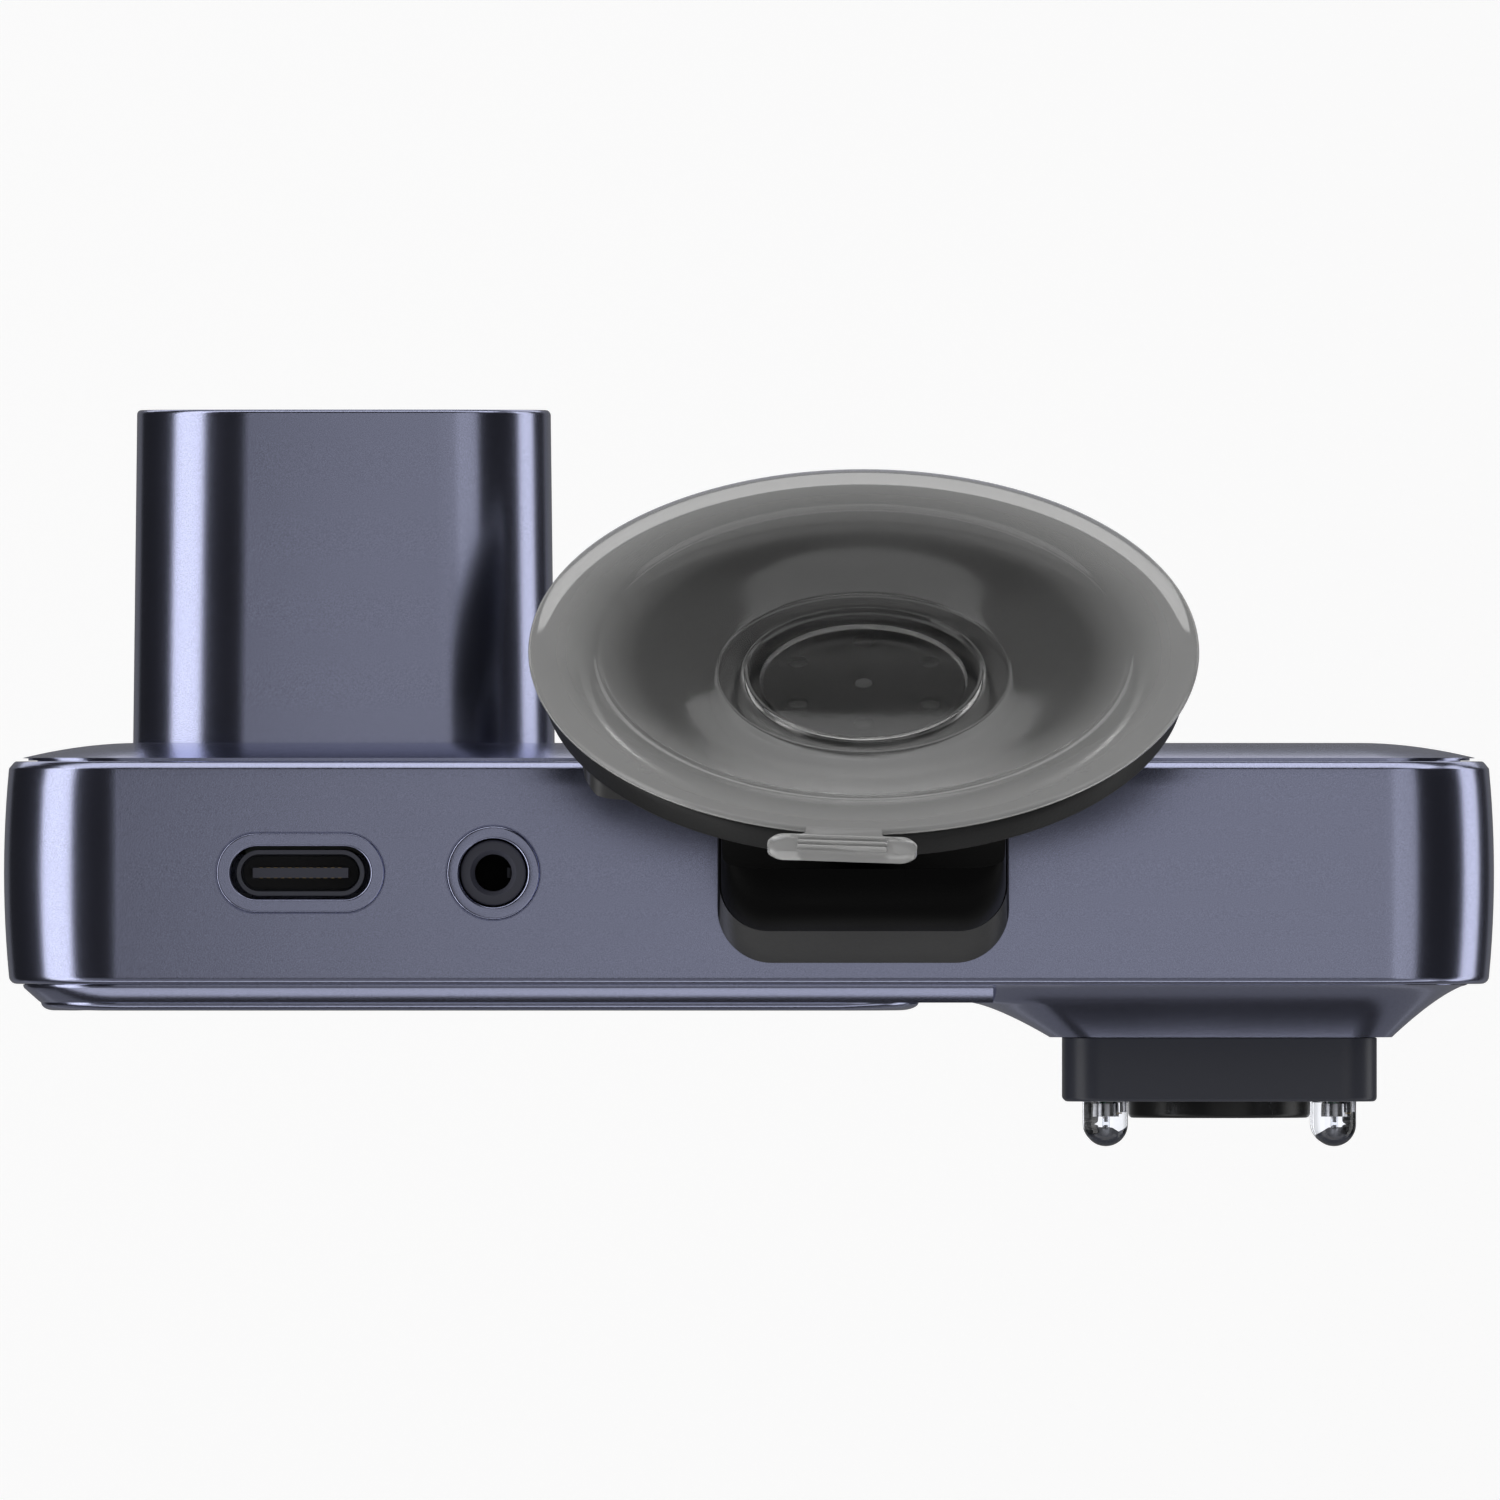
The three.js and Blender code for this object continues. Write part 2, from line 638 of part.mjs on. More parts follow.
function mainChip() {
  const edge = chipAt.width;
  const start = board.y + fit;
  return prism(centred(chipAt.x, chipAt.z, edge, edge, 0.4, 1), start, start + chipAt.height, alongY);
}

function heatSink() {
  const start = board.y + 2 * fit + chipAt.height;
  const half = sinkAt.width / 2;
  const end = start + sinkAt.base + sinkAt.fin;
  const slab = box(chipAt.x - half, start, chipAt.z - half, chipAt.x + half, end, chipAt.z + half);
  const pitch = sinkAt.width / (sinkAt.fins - 0.5);
  const grooves = Array.from({ length: sinkAt.fins - 1 }, (_, i) => {
    const x = chipAt.x - half + pitch * (i + 0.5);
    return box(x, start + sinkAt.base, -through, x + pitch / 2, through, through);
  });
  return cut(slab, ...grooves);
}

function batteryCell() {
  const outline = centred(26, 0, 28, 25, 2.2, 3);
  return prism(outline, frameFront - 6.6, frameFront - 1.4, alongY);
}

function speaker() {
  const floor = -cavity.height / 2 + fit;
  const { x, y, radius, height } = speakerAt;
  const outline = [
    [0, floor + 1],
    [radius - 1.2, floor + 0.4],
    [radius - 1, floor],
    [radius, floor],
    [radius, floor + height * 0.5],
    [radius * 0.6, floor + height],
    [0, floor + height],
  ];
  return turned(outline, 24).translate([x, y, 0]);
}

function microphone() {
  const floor = -cavity.height / 2 + fit;
  return rodZ(micAt.radius, micAt.x, 0, floor, floor + micAt.height, 16);
}

function cardSocketSolid() {
  const left = -cavity.width / 2 + fit;
  const rear = boardBack - fit - cardSocket.thickness;
  const half = cardSocket.width / 2;
  const shell = box(left, rear, -half, left + cardSocket.length, boardBack - fit, half);
  const slot = card.thickness / 2 + fit;
  const reach = card.width / 2 + fit;
  const inside = box(left - 1, card.y - slot, -reach, left + card.length, card.y + slot, reach);
  return cut(shell, inside);
}

function memoryCard() {
  const left = -body.width / 2 - card.proud;
  const outline = rounded(left, -card.width / 2, left + card.length, card.width / 2, 0.8, 2);
  const plate = prism(outline, card.y - card.thickness / 2, card.y + card.thickness / 2, alongY);
  const notch = box(left + 6, -through, card.width / 2 - 0.9, left + 7.2, through, through);
  return cut(plate, notch);
}

// ---------------------------------------------------------------- screen and keys

// The screen's outline, taken in by inset all round.
function screenOutline(inset, radius) {
  return rounded(screenLeft + inset, screenLow + inset, screenRight - inset, screenTop - inset, radius, 3);
}

function screenGlass() {
  return prism(screenOutline(0, 1.5), screenFace + 0.08, screenFace + 0.08 + screen.glass, alongY);
}

function displayPanel() {
  const start = screenFace + 0.08 + screen.glass + fit;
  return prism(screenOutline(screen.panelMargin, 0.5), start, start + screen.panelDepth, alongY);
}

const keyPitch = (screenRight - screenLeft - 2 * key.fromEnd) / (key.count - 1);
const keyPlaces = Array.from({ length: key.count }, (_, i) => screenLeft + key.fromEnd + i * keyPitch);
const keyBack = frameBack + 0.9;

function keyCap(x) {
  const face = screenFace + 0.12;
  const stadium = (grow) => {
    return centred(x, keyZ, key.long + 2 * grow, key.short + 2 * grow, key.short / 2 + grow, 4);
  };
  const cap = loft(
    [
      { at: face, outline: stadium(-0.25) },
      { at: face + 0.25, outline: stadium(0) },
      { at: keyBack, outline: stadium(0) },
    ],
    alongY,
  );
  return joined(cap, prism(stadium(key.flange / 2), frameBack + 0.12, keyBack, alongY));
}

function keyBoard() {
  const left = keyPlaces[0] - key.long / 2;
  const right = keyPlaces.at(-1) + key.long / 2;
  const start = keyBack + key.travel + fit;
  return box(left, start, keyZ - 1.8, right, start + 0.8, keyZ + 1.2);
}

// ---------------------------------------------------------------- cabin camera

const cabinBack = ridgeTop - 0.1;
const cabinFace = ridgeTop - cabin.reach;
const ledPlaces = [-1, 1].flatMap((sx) => [1, -1].map((sz) => [ridgeX + sx * led.spread, sz * led.spread]));

function cabinHousing() {
  const square = (width, corner) => centred(ridgeX, 0, width, width, corner);
  const outer = loft(
    [
      { at: cabinFace, outline: square(cabin.width - 0.6, cabin.corner - 0.2) },
      { at: cabinFace + 0.3, outline: square(cabin.width, cabin.corner) },
      { at: cabinBack, outline: square(cabin.width, cabin.corner) },
    ],
    alongY,
  );
  const hollow = square(cabin.width - 2 * cabin.wall, cabin.corner - cabin.wall);
  return cut(
    outer,
    prism(hollow, cabinFace + cabin.wall, 0, alongY),
    rodY(cabin.ringR + fit, ridgeX, 0, -through, 0, 32),
    ...ledPlaces.map(([x, z]) => rodY(led.radius + 0.12, x, z, -through, 0, 16)),
  );
}

function cabinRing() {
  const face = cabinFace - cabin.ringReach;
  const outline = [
    [cabinLens.glass + fit, cabinFace + 1],
    [cabinLens.glass + fit, cabinFace + 0.2],
    [cabin.ringR - 1, face],
    [cabin.ringR - 0.2, face],
    [cabin.ringR, face + 0.2],
    [cabin.ringR, cabinFace + 1],
  ];
  return turnedY(outline, ridgeX, 0, 32);
}

function cabinGlass() {
  const radius = cabinLens.glass;
  const rim = cabinFace + 0.3;
  const dome = [0.97, 0.75, 0.4].map((share) => [radius * share, rim - 0.8 * (1 - share * share)]);
  const outline = [[0, cabinFace + 1], [radius, cabinFace + 1], [radius, rim], ...dome, [0, rim - 0.8]];
  return turnedY(outline, ridgeX, 0, 24);
}

const cabinBoardFace = frameBack - 1.2;

function cabinTube() {
  const outline = [
    [cabinLens.glass, cabinBoardFace - fit],
    [cabinLens.tube, cabinBoardFace - fit],
    [cabinLens.tube, cabinFace + 1.15],
    [cabinLens.glass, cabinFace + 1.15],
  ];
  return turnedY(outline, ridgeX, 0, 24);
}

function cabinSensorBoard() {
  const edge = ridge.hollow;
  return prism(centred(ridgeX, 0, edge, edge, 0.8, 2), cabinBoardFace, cabinBoardFace + 0.9, alongY);
}

function ledBoard() {
  const edge = cabin.width - 2 * cabin.wall - 2 * fit;
  const start = cabinFace + cabin.wall + 1.4;
  const sheet = centred(ridgeX, 0, edge, edge, cabin.corner - cabin.wall - fit, 3);
  const plate = prism(sheet, start, start + 0.8, alongY);
  return cut(plate, rodY(cabinLens.tube + fit, ridgeX, 0, -through, 0, 24));
}

function ledSolid(x, z) {
  const rear = cabinFace + cabin.wall + 1.4 - fit;
  const tip = cabinFace - led.reach;
  const arc = [22.5, 45, 67.5].map((degrees) => {
    const angle = THREE.MathUtils.degToRad(degrees);
    return [led.radius * Math.cos(angle), tip + led.radius * (1 - Math.sin(angle))];
  });
  const outline = [
    [0, rear],
    [led.flange, rear],
    [led.flange, cabinFace + cabin.wall + fit],
    [led.radius, cabinFace + cabin.wall + fit],
    [led.radius, tip + led.radius],
    ...arc,
    [0, tip],
  ];
  return turnedY(outline, x, z, 12);
}

// ---------------------------------------------------------------- suction mount
// Its own frame has +Z out of the cup's face, 0 at the sealing plane, and +Y to the disc's lowest edge.

function suctionCup() {
  const { lip, flat, groove, shoulder, floor, depth, lipThickness } = cup;
  const pocketFloor = -(depth + insert.skin);
  const pocket = insert.radius + fit;
  const rear = pocketFloor - insert.thickness + 0.1;
  const outline = [
    [0, -depth],
    [floor - 0.3, -depth],
    [floor, -depth + 0.28],
    [floor + 0.35, -depth],
    [shoulder - 0.5, -depth + 0.1],
    [shoulder, -depth + 0.45],
    [groove - 2.5, -0.62],
    [groove, -0.28],
    [flat, 0],
    [lip, 0],
    [lip, -lipThickness * 0.4],
    [lip - 0.5, -lipThickness],
    [groove, -1.9],
    [shoulder, rear + 0.6],
    [pocket + 1.4, rear],
    [pocket, rear],
    [pocket, pocketFloor],
    [0, pocketFloor],
  ];
  const tongue = pullTab().rotate([0, 0, tab.turn]);
  return joined(turned(outline, 48), tongue);
}

// The T-shaped tab on the lip's highest edge, with grip ribs across it.
function pullTab() {
  const half = tab.width / 2;
  const neck = tab.neck / 2;
  const start = -cup.lip + 0.6;
  const shoulderAt = -cup.lip - 0.55;
  const end = -cup.lip - tab.length;
  const { corner } = tab;
  const shape = new THREE.Shape();
  shape.moveTo(neck, start);
  shape.lineTo(-neck, start);
  shape.lineTo(-neck, shoulderAt + 0.2);
  shape.lineTo(-half + corner, shoulderAt);
  shape.absarc(-half + corner, shoulderAt - corner, corner, Math.PI / 2, Math.PI, false);
  shape.absarc(-half + corner, end + corner, corner, Math.PI, 1.5 * Math.PI, false);
  shape.absarc(half - corner, end + corner, corner, 1.5 * Math.PI, 2 * Math.PI, false);
  shape.absarc(half - corner, shoulderAt - corner, corner, 0, Math.PI / 2, false);
  shape.lineTo(neck, shoulderAt + 0.2);
  const sheet = { depth: tab.thickness, bevelEnabled: false, curveSegments: 5 };
  const plate = new THREE.ExtrudeGeometry(shape, sheet);
  plate.translate(0, 0, -tab.thickness - 0.05);
  const ribPitch = (tab.length - 0.95) / tab.ribs;
  const ribs = Array.from({ length: tab.ribs }, (_, i) => {
    const y = end + 0.35 + ribPitch * i;
    return box(-half + 2.2, y, -0.2, half - 2.2, y + ribPitch * 0.45, 0.2);
  });
  return joined(solidOf(plate), ...ribs);
}

const insertFront = -(cup.depth + insert.skin + fit);
const insertBack = insertFront - insert.thickness;
const pinHeight = -(dish.webBack + 0.75);

function cupInsert() {
  const stemEnd = -(dish.towerEnd - insert.travel - 1.1);
  const outline = [
    [0, stemEnd],
    [insert.stem, stemEnd],
    [insert.stem, insertBack - 0.3],
    [insert.stem + 0.4, insertBack],
    [insert.radius, insertBack],
    [insert.radius, insertFront - 0.2],
    [insert.radius - 0.3, insertFront],
    [0, insertFront],
  ];
  const dimples = Array.from({ length: 6 }, (_, i) => {
    const angle = (i + 0.5) * (Math.PI / 3);
    const [x, y] = [5.4 * Math.cos(angle), 5.4 * Math.sin(angle)];
    return rodZ(0.75, x, y, insertFront - 0.45, insertFront + 1, 10);
  });
  return cut(turned(outline, 32), ...dimples, crossPin(insert.pin + 0.1, insert.pinReach + 1));
}

function crossPin(radius, reach) {
  return rod(radius, -reach, reach, 12).rotate([0, 90, 0]).translate([0, 0, pinHeight]);
}

function mountDish() {
  const { radius, rimFront, rimBack, hub, webFront, webBack, tower, towerEnd } = dish;
  const hole = insert.stem + 0.2;
  const outline = [
    [hole, -webFront],
    [insert.radius + 2, -webFront],
    [cup.shoulder + 1.2, -4.75],
    [cup.groove, -2.35],
    [radius - 1.5, -rimFront - 0.7],
    [radius - 0.3, -rimFront],
    [radius, -rimFront - 0.2],
    [radius, -rimBack + 0.15],
    [radius - 0.25, -rimBack],
    [hub + 1.5, -webBack + 0.35],
    [hub, -webBack],
    [tower, -webBack],
    [tower, -towerEnd],
    [ball.plug + 0.15, -towerEnd],
    [ball.plug + 0.15, -webBack],
    [hole, -webBack],
  ];
  const slotHigh = pinHeight + insert.pin + 0.2;
  const slotLow = pinHeight - insert.travel - insert.pin - 0.2;
  const slotHalf = insert.pin + 0.15;
  const slot = box(-tower - 1, -slotHalf, slotLow, tower + 1, slotHalf, slotHigh);
  return cut(turned(outline, 48), slot);
}

// The helical slot that draws the pin back by its travel over the ring's turn.
function helicalSlot(startAngle) {
  const half = insert.pin + 0.16;
  const reach = insert.pinReach + 0.3;
  const spare = 7;
  const steps = 8;
  const levels = Array.from({ length: steps + 1 }, (_, i) => {
    const turn = -spare + ((twist.turn + 2 * spare) * i) / steps;
    const drawn = (insert.travel * Math.min(Math.max(turn, 0), twist.turn)) / twist.turn;
    const height = pinHeight - drawn;
    return {
      at: THREE.MathUtils.degToRad(startAngle - turn),
      outline: [
        [twist.inner - 1.2, height - half],
        [reach, height - half],
        [reach, height + half],
        [twist.inner - 1.2, height + half],
      ],
    };
  });
  const turned = (radius, height, angle) => [radius * Math.cos(angle), radius * Math.sin(angle), height];
  return loft(levels, turned);
}

function twistRing() {
  const front = -(dish.webBack + fit);
  const { inner, outer, back: rear, wingTip, wingWidth, wingBack, wingAngle } = twist;
  const ringOutline = [
    [inner, front],
    [outer - 0.3, front],
    [outer, front - 0.3],
    [outer, -rear + 1.4],
    [outer - 2, -rear],
    [inner, -rear],
  ];
  const ring = turned(ringOutline, 32);
  const bladeOutline = [
    [outer - 2, front],
    [outer + 1.6, front],
    [wingTip - 0.6, -4.9],
    [wingTip, -5.4],
    [wingTip, -wingBack + 0.7],
    [wingTip - 0.7, -wingBack],
    [outer - 2, -wingBack - 1.3],
  ];
  const wing = () => {
    const sideways = (radius, height, side) => [radius, -side, height];
    const blade = prism(bladeOutline, -wingWidth / 2, wingWidth / 2, sideways);
    const round = prism(centred(0, 0, 2 * wingTip, wingWidth, 1.8, 4), -through, through, alongZ);
    return blade.intersect(round);
  };
  const wings = [wingAngle, wingAngle + 180].map((angle) => wing().rotate([0, 0, angle]));
  return cut(joined(ring, ...wings), helicalSlot(0), helicalSlot(180), rod(inner, -through, 0, 32));
}

// ---------------------------------------------------------------- ball joint, in the same frame

const ballAt = -mount.faceToBall;

function ballStud() {
  const arc = [];
  const neckAngle = Math.asin(ball.neck / ball.radius);
  for (let i = 1; i < 10; i++) {
    const angle = Math.PI - ((Math.PI - neckAngle) * i) / 10;
    arc.push([ball.radius * Math.sin(angle), ballAt + ball.radius * Math.cos(angle)]);
  }
  const seat = -dish.towerEnd - fit;
  const outline = [
    [0, ballAt - ball.radius],
    ...arc,
    [ball.neck, ballAt + ball.radius * Math.cos(neckAngle)],
    [ball.neck, seat - 1],
    [ball.flange, seat - 0.5],
    [ball.flange, seat],
    [ball.plug, seat],
    [ball.plug, seat + 0.9],
    [0, seat + 0.9],
  ];
  return turned(outline, 24);
}

const linerIn = ball.radius + fit;
const linerOut = linerIn + ball.liner;
const socketRadius = linerOut + fit;

function ballLiner() {
  const shell = cut(sphere(linerOut), sphere(linerIn));
  const rim = -0.8;
  const keep = box(-through, -through, -through, through, through, rim);
  const drain = rod(1, -through, 0, 12);
  return cut(shell.intersect(keep), drain).translate([0, 0, ballAt]);
}

function seatRing() {
  const { out, ringBack, ringWall } = mouth;
  const ring = rod(ringWall, ringBack, out, 32);
  const slots = [0, 90].map((turn) =>
    solidOf(new THREE.BoxGeometry(2 * ringWall + 1, 1, 0.7)).rotate([0, 0, turn]).translate([0, 0, out]),
  );
  return cut(ring, sphere(linerIn), ...slots).translate([0, 0, ballAt]);
}

// ---------------------------------------------------------------- foot and neck, in the body's frame

const mountTurn = mount.tilt - 90;
const tiltAxis = new THREE.Vector3(1, 0, 0);
const out = new THREE.Vector3(0, 0, 1).applyAxisAngle(tiltAxis, THREE.MathUtils.degToRad(mountTurn));
const ballPoint = [mount.x, mount.ballY, top + mount.ballRise];

// A solid of the mount's frame, whose origin is the ball's centre, set in the body's frame.
const atBall = (solid) => solid.rotate([mountTurn, 0, 0]).translate(ballPoint);

function neckBlock() {
  const level = (z, width, rear, ahead, corner) => ({
    at: top + z,
    outline: rounded(mount.x - width / 2, rear, mount.x + width / 2, ahead, corner, 6),
  });
  const plate = loft(
    [
      level(fit, foot.width, foot.rear, foot.front, foot.corner),
      level(foot.skirt, foot.width, foot.rear, foot.front, foot.corner),
      level(foot.height, foot.width - 0.2, foot.rearTop, foot.front, foot.corner - 0.4),
    ],
    alongZ,
  );
  const lean = [[-0.2, 0], [5.2, 0], [8.6, 0.6], [10.6, 1.6], [11.8, 3], [12.4, 4.6]];
  const scale = (block.top - foot.height) / 12.4;
  const head = loft(
    lean.map(([rise, forward]) =>
      level(
        foot.height + rise * scale, block.width - 0.1 * forward,
        foot.rearTop + forward, foot.front, foot.corner - 0.5,
      ),
    ),
    alongZ,
  );
  const ahead = box(-through, -through, mouth.out, through, through, through);
  const socket = joined(sphere(socketRadius), rod(mouth.ringWall + fit, mouth.ringBack - fit, through, 32));
  return cut(
    joined(plate, head),
    atBall(ahead),
    atBall(socket),
    ...railScrewPlaces.map((y) => rodZ(screw.shank + 0.1, mount.x, y, top - 5, top + 2.3, 10)),
  );
}

const railScrewPlaces = [rail.rear + 1.9, rail.front - 2.2];

function shoeRail() {
  const flangeTop = top - rail.lip - fit;
  const flangeLow = flangeTop - rail.flangeHeight;
  const neck = rail.neck / 2;
  const flange = rail.flange / 2;
  return cut(
    joined(
      box(mount.x - neck, rail.rear, flangeLow, mount.x + neck, rail.front, top),
      box(mount.x - flange, rail.rear, flangeLow, mount.x + flange, rail.front, flangeTop),
    ),
    ...railScrewPlaces.map((y) => rodZ(screw.shank + 0.1, mount.x, y, -through, through, 10)),
    ...railScrewPlaces.map((y) => {
      return rodZ(screw.head + 0.1, mount.x, y, -through, flangeLow + screw.headHeight + 0.2, 12);
    }),
  );
}

function railScrew(y) {
  const low = top - rail.lip - fit - rail.flangeHeight + 0.05;
  const outline = [
    [0, low],
    [screw.head - 0.2, low],
    [screw.head, low + 0.2],
    [screw.head, low + screw.headHeight],
    [screw.shank, low + screw.headHeight],
    [screw.shank, top + 1.9],
    [0, top + 2.2],
  ];
  return turned(outline, 12).translate([mount.x, y, 0]);
}

// ---------------------------------------------------------------- assembly

const camera = new THREE.Group();
camera.add(
  mesh("mid_frame", "anodised", midFrame()),
  mesh("front_cover", "shell", frontCover()),
  mesh("rear_cover", "shell", rearCover()),
  mesh("lens_housing", "shell", lensHousingSolid()),
  mesh("lens_front_plate", "gloss", lensFrontPlate()),
  mesh("lens_ring", "darkMetal", lensRingSolid()),
  mesh("lens_tube", "darkMetal", lensTubeSolid()),
  mesh("lens_front_glass", "glass", lensGlassSolid()),
  mesh("lens_rear_element", "glass", lensRearElement()),
  mesh("lens_holder", "black", lensHolderSolid()),
  mesh("sensor_board", "board", sensorBoard()),
  mesh("image_sensor", "chip", imageSensor()),
  mesh("usb_bezel", "anodised", usbBezel()),
  mesh("usb_shell", "steel", usbShellSolid()),
  mesh("usb_tongue", "black", usbTongueSolid()),
  mesh("av_bezel", "anodised", avBezel()),
  mesh("av_sleeve", "black", avSleeve()),
  mesh("av_jack_body", "black", avJackBody()),
  mesh("main_board", "board", mainBoard()),
  mesh("main_chip", "chip", mainChip()),
  mesh("heat_sink", "darkMetal", heatSink()),
  mesh("battery_cell", "cell", batteryCell()),
  mesh("speaker", "black", speaker()),
  mesh("microphone", "steel", microphone()),
  mesh("card_socket", "steel", cardSocketSolid()),
  mesh("memory_card", "chip", memoryCard()),
  mesh("screen_glass", "gloss", screenGlass()),
  mesh("display_panel", "gloss", displayPanel()),
  mesh("key_board", "board", keyBoard()),
  mesh("cabin_housing", "black", cabinHousing()),
  mesh("cabin_lens_ring", "gloss", cabinRing()),
  mesh("cabin_lens_glass", "glass", cabinGlass()),
  mesh("cabin_lens_tube", "black", cabinTube()),
  mesh("cabin_sensor_board", "board", cabinSensorBoard()),
  mesh("ir_led_board", "board", ledBoard()),
  mesh("neck_block", "black", neckBlock()),
  mesh("shoe_rail", "black", shoeRail()),
);
["power", "menu", "up", "down", "record"].forEach((use, i) => {
  camera.add(mesh(`${use}_key`, "black", keyCap(keyPlaces[i])));
});
postPlaces.forEach(([x, z], i) => camera.add(mesh(`board_screw_${i + 1}`, "steel", boardScrew(x, z))));
railScrewPlaces.forEach((y, i) => camera.add(mesh(`rail_screw_${i + 1}`, "steel", railScrew(y))));
ledPlaces.forEach(([x, z], i) => camera.add(mesh(`ir_led_${i + 1}`, "clearResin", ledSolid(x, z))));

const suctionMount = new THREE.Group();
suctionMount.rotation.x = THREE.MathUtils.degToRad(mountTurn);
suctionMount.position.set(...ballPoint).addScaledVector(out, mount.faceToBall);
suctionMount.add(
  mesh("suction_cup", "clearRubber", suctionCup()),
  mesh("cup_insert", "black", cupInsert()),
  mesh("cross_pin", "steel", crossPin(insert.pin, insert.pinReach)),
  mesh("mount_dish", "black", mountDish()),
  mesh("twist_ring", "black", twistRing()),
  mesh("ball_stud", "black", ballStud()),
  mesh("ball_liner", "black", ballLiner()),
  mesh("seat_ring", "black", seatRing()),
);

const dashCamera = new THREE.Group();
dashCamera.add(camera, suctionMount);
dashCamera.position.copy(suctionMount.position).negate();

export default dashCamera;
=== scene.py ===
import json
import math

import bmesh
import bpy
from mathutils import Matrix, Vector
from mathutils.bvhtree import BVHTree
from mathutils.interpolate import poly_3d_calc


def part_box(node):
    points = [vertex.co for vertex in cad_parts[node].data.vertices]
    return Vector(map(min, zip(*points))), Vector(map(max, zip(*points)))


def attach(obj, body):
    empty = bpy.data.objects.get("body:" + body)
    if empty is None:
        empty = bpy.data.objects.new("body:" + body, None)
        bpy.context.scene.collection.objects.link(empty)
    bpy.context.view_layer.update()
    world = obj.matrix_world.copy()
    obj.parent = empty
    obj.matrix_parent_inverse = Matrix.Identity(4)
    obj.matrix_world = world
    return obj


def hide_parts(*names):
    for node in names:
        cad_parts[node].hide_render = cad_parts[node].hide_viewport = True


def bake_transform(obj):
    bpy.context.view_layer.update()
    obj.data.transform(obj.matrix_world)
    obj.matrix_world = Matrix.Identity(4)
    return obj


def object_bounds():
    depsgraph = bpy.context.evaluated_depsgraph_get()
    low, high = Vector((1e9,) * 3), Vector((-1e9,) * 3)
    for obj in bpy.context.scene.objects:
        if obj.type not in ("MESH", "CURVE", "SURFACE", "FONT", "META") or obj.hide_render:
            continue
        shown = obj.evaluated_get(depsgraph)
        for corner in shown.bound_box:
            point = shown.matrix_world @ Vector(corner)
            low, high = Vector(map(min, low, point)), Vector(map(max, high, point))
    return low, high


# The looks of a dash camera on a windscreen suction mount. Sizes here are in millimetres, in one of two
# places: BODY, whose origin is the middle of the camera's body, and CUP, whose origin is the middle of the
# cup's sealing plane, with Z out of the cup and Y towards its lowest edge.

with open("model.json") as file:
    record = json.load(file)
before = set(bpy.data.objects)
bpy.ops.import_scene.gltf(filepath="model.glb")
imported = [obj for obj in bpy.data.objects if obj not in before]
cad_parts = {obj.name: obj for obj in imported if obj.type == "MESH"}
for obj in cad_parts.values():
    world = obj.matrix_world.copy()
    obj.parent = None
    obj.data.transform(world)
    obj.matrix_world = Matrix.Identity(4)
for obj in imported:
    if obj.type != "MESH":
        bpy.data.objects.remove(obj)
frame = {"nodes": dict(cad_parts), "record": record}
cad_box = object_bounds()

MM = 0.001
FIT = 0.15  # clearance between pieces that fit in each other

band_low, band_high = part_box("mid_frame")
BODY = Matrix.Translation((band_low + band_high) / 2) @ Matrix.Scale(MM, 4)
seal = next(m for m in frame["record"]["mounts"] if m["name"] == "windshield_seal")
OUTWARD = Vector(seal["axis"])
CUP = Matrix.Rotation(-math.acos(OUTWARD.z), 4, "X") @ Matrix.Scale(MM, 4)


# ---------------- shells: lists of points and faces


def along_x(a, b, c):
    return (c, a, b)


def along_y(a, b, c):
    return (a, c, b)


def along_z(a, b, c):
    return (a, b, c)


def rounded(left, low, right, high, radius, steps=12):
    """A rectangle with round corners, anticlockwise."""
    r = max(min(radius, (right - left) / 2 - 0.005, (high - low) / 2 - 0.005), 0.01)
    centres = [(right - r, high - r), (left + r, high - r), (left + r, low + r), (right - r, low + r)]
    points = []
    for corner, (x, y) in enumerate(centres):
        for i in range(steps + 1):
            angle = (corner + i / steps) * math.pi / 2
            points.append((x + r * math.cos(angle), y + r * math.sin(angle)))
    return points


def centred(x, y, width, height, radius, steps=12):
    return rounded(x - width / 2, y - height / 2, x + width / 2, y + height / 2, radius, steps)


def loft(stations, place=along_y):
    """A closed skin through (level, outline) stations, whose outlines have equal numbers of points."""
    count = len(stations[0][1])
    points = [place(a, b, level) for level, outline in stations for a, b in outline]
    faces = [list(range(count))[::-1], [len(points) - count + i for i in range(count)]]
    for ring in range(len(stations) - 1):
        low = ring * count
        for i in range(count):
            j = (i + 1) % count
            faces.append([low + i, low + j, low + count + j, low + count + i])
    return points, faces


def prism(outline, start, end, place=along_y):
    return loft([(start, outline), (end, outline)], place)


def lathe(profile, segments=96):
    """A turned piece about Z. Its outline of (radius, height) is closed, or starts and ends on the axis."""
    points, rings, faces = [], [], []
    for radius, height in profile:
        if radius < 1e-6:
            rings.append([len(points)] * segments)
            points.append((0, 0, height))
        else:
            rings.append([len(points) + i for i in range(segments)])
            turn = [2 * math.pi * i / segments for i in range(segments)]
            points += [(radius * math.cos(a), radius * math.sin(a), height) for a in turn]
    closed = profile[0][0] > 1e-6 or profile[-1][0] > 1e-6
    for k in range(len(rings) - (0 if closed else 1)):
        low, high = rings[k], rings[(k + 1) % len(rings)]
        for i in range(segments):
            j = (i + 1) % segments
            face = list(dict.fromkeys([low[i], low[j], high[j], high[i]]))
            if len(face) > 2:
                faces.append(face)
    return points, faces


def moved(shell, matrix):
    return [tuple(matrix @ Vector(p)) for p in shell[0]], shell[1]


def facing_y(shell, x=0, z=0):
    """A turned piece with its axis laid along +Y through x and z."""
    return moved(shell, Matrix.Translation((x, 0, z)) @ Matrix.Rotation(-math.pi / 2, 4, "X"))


def lifted(shell, x, y, z=0):
    return moved(shell, Matrix.Translation((x, y, z)))


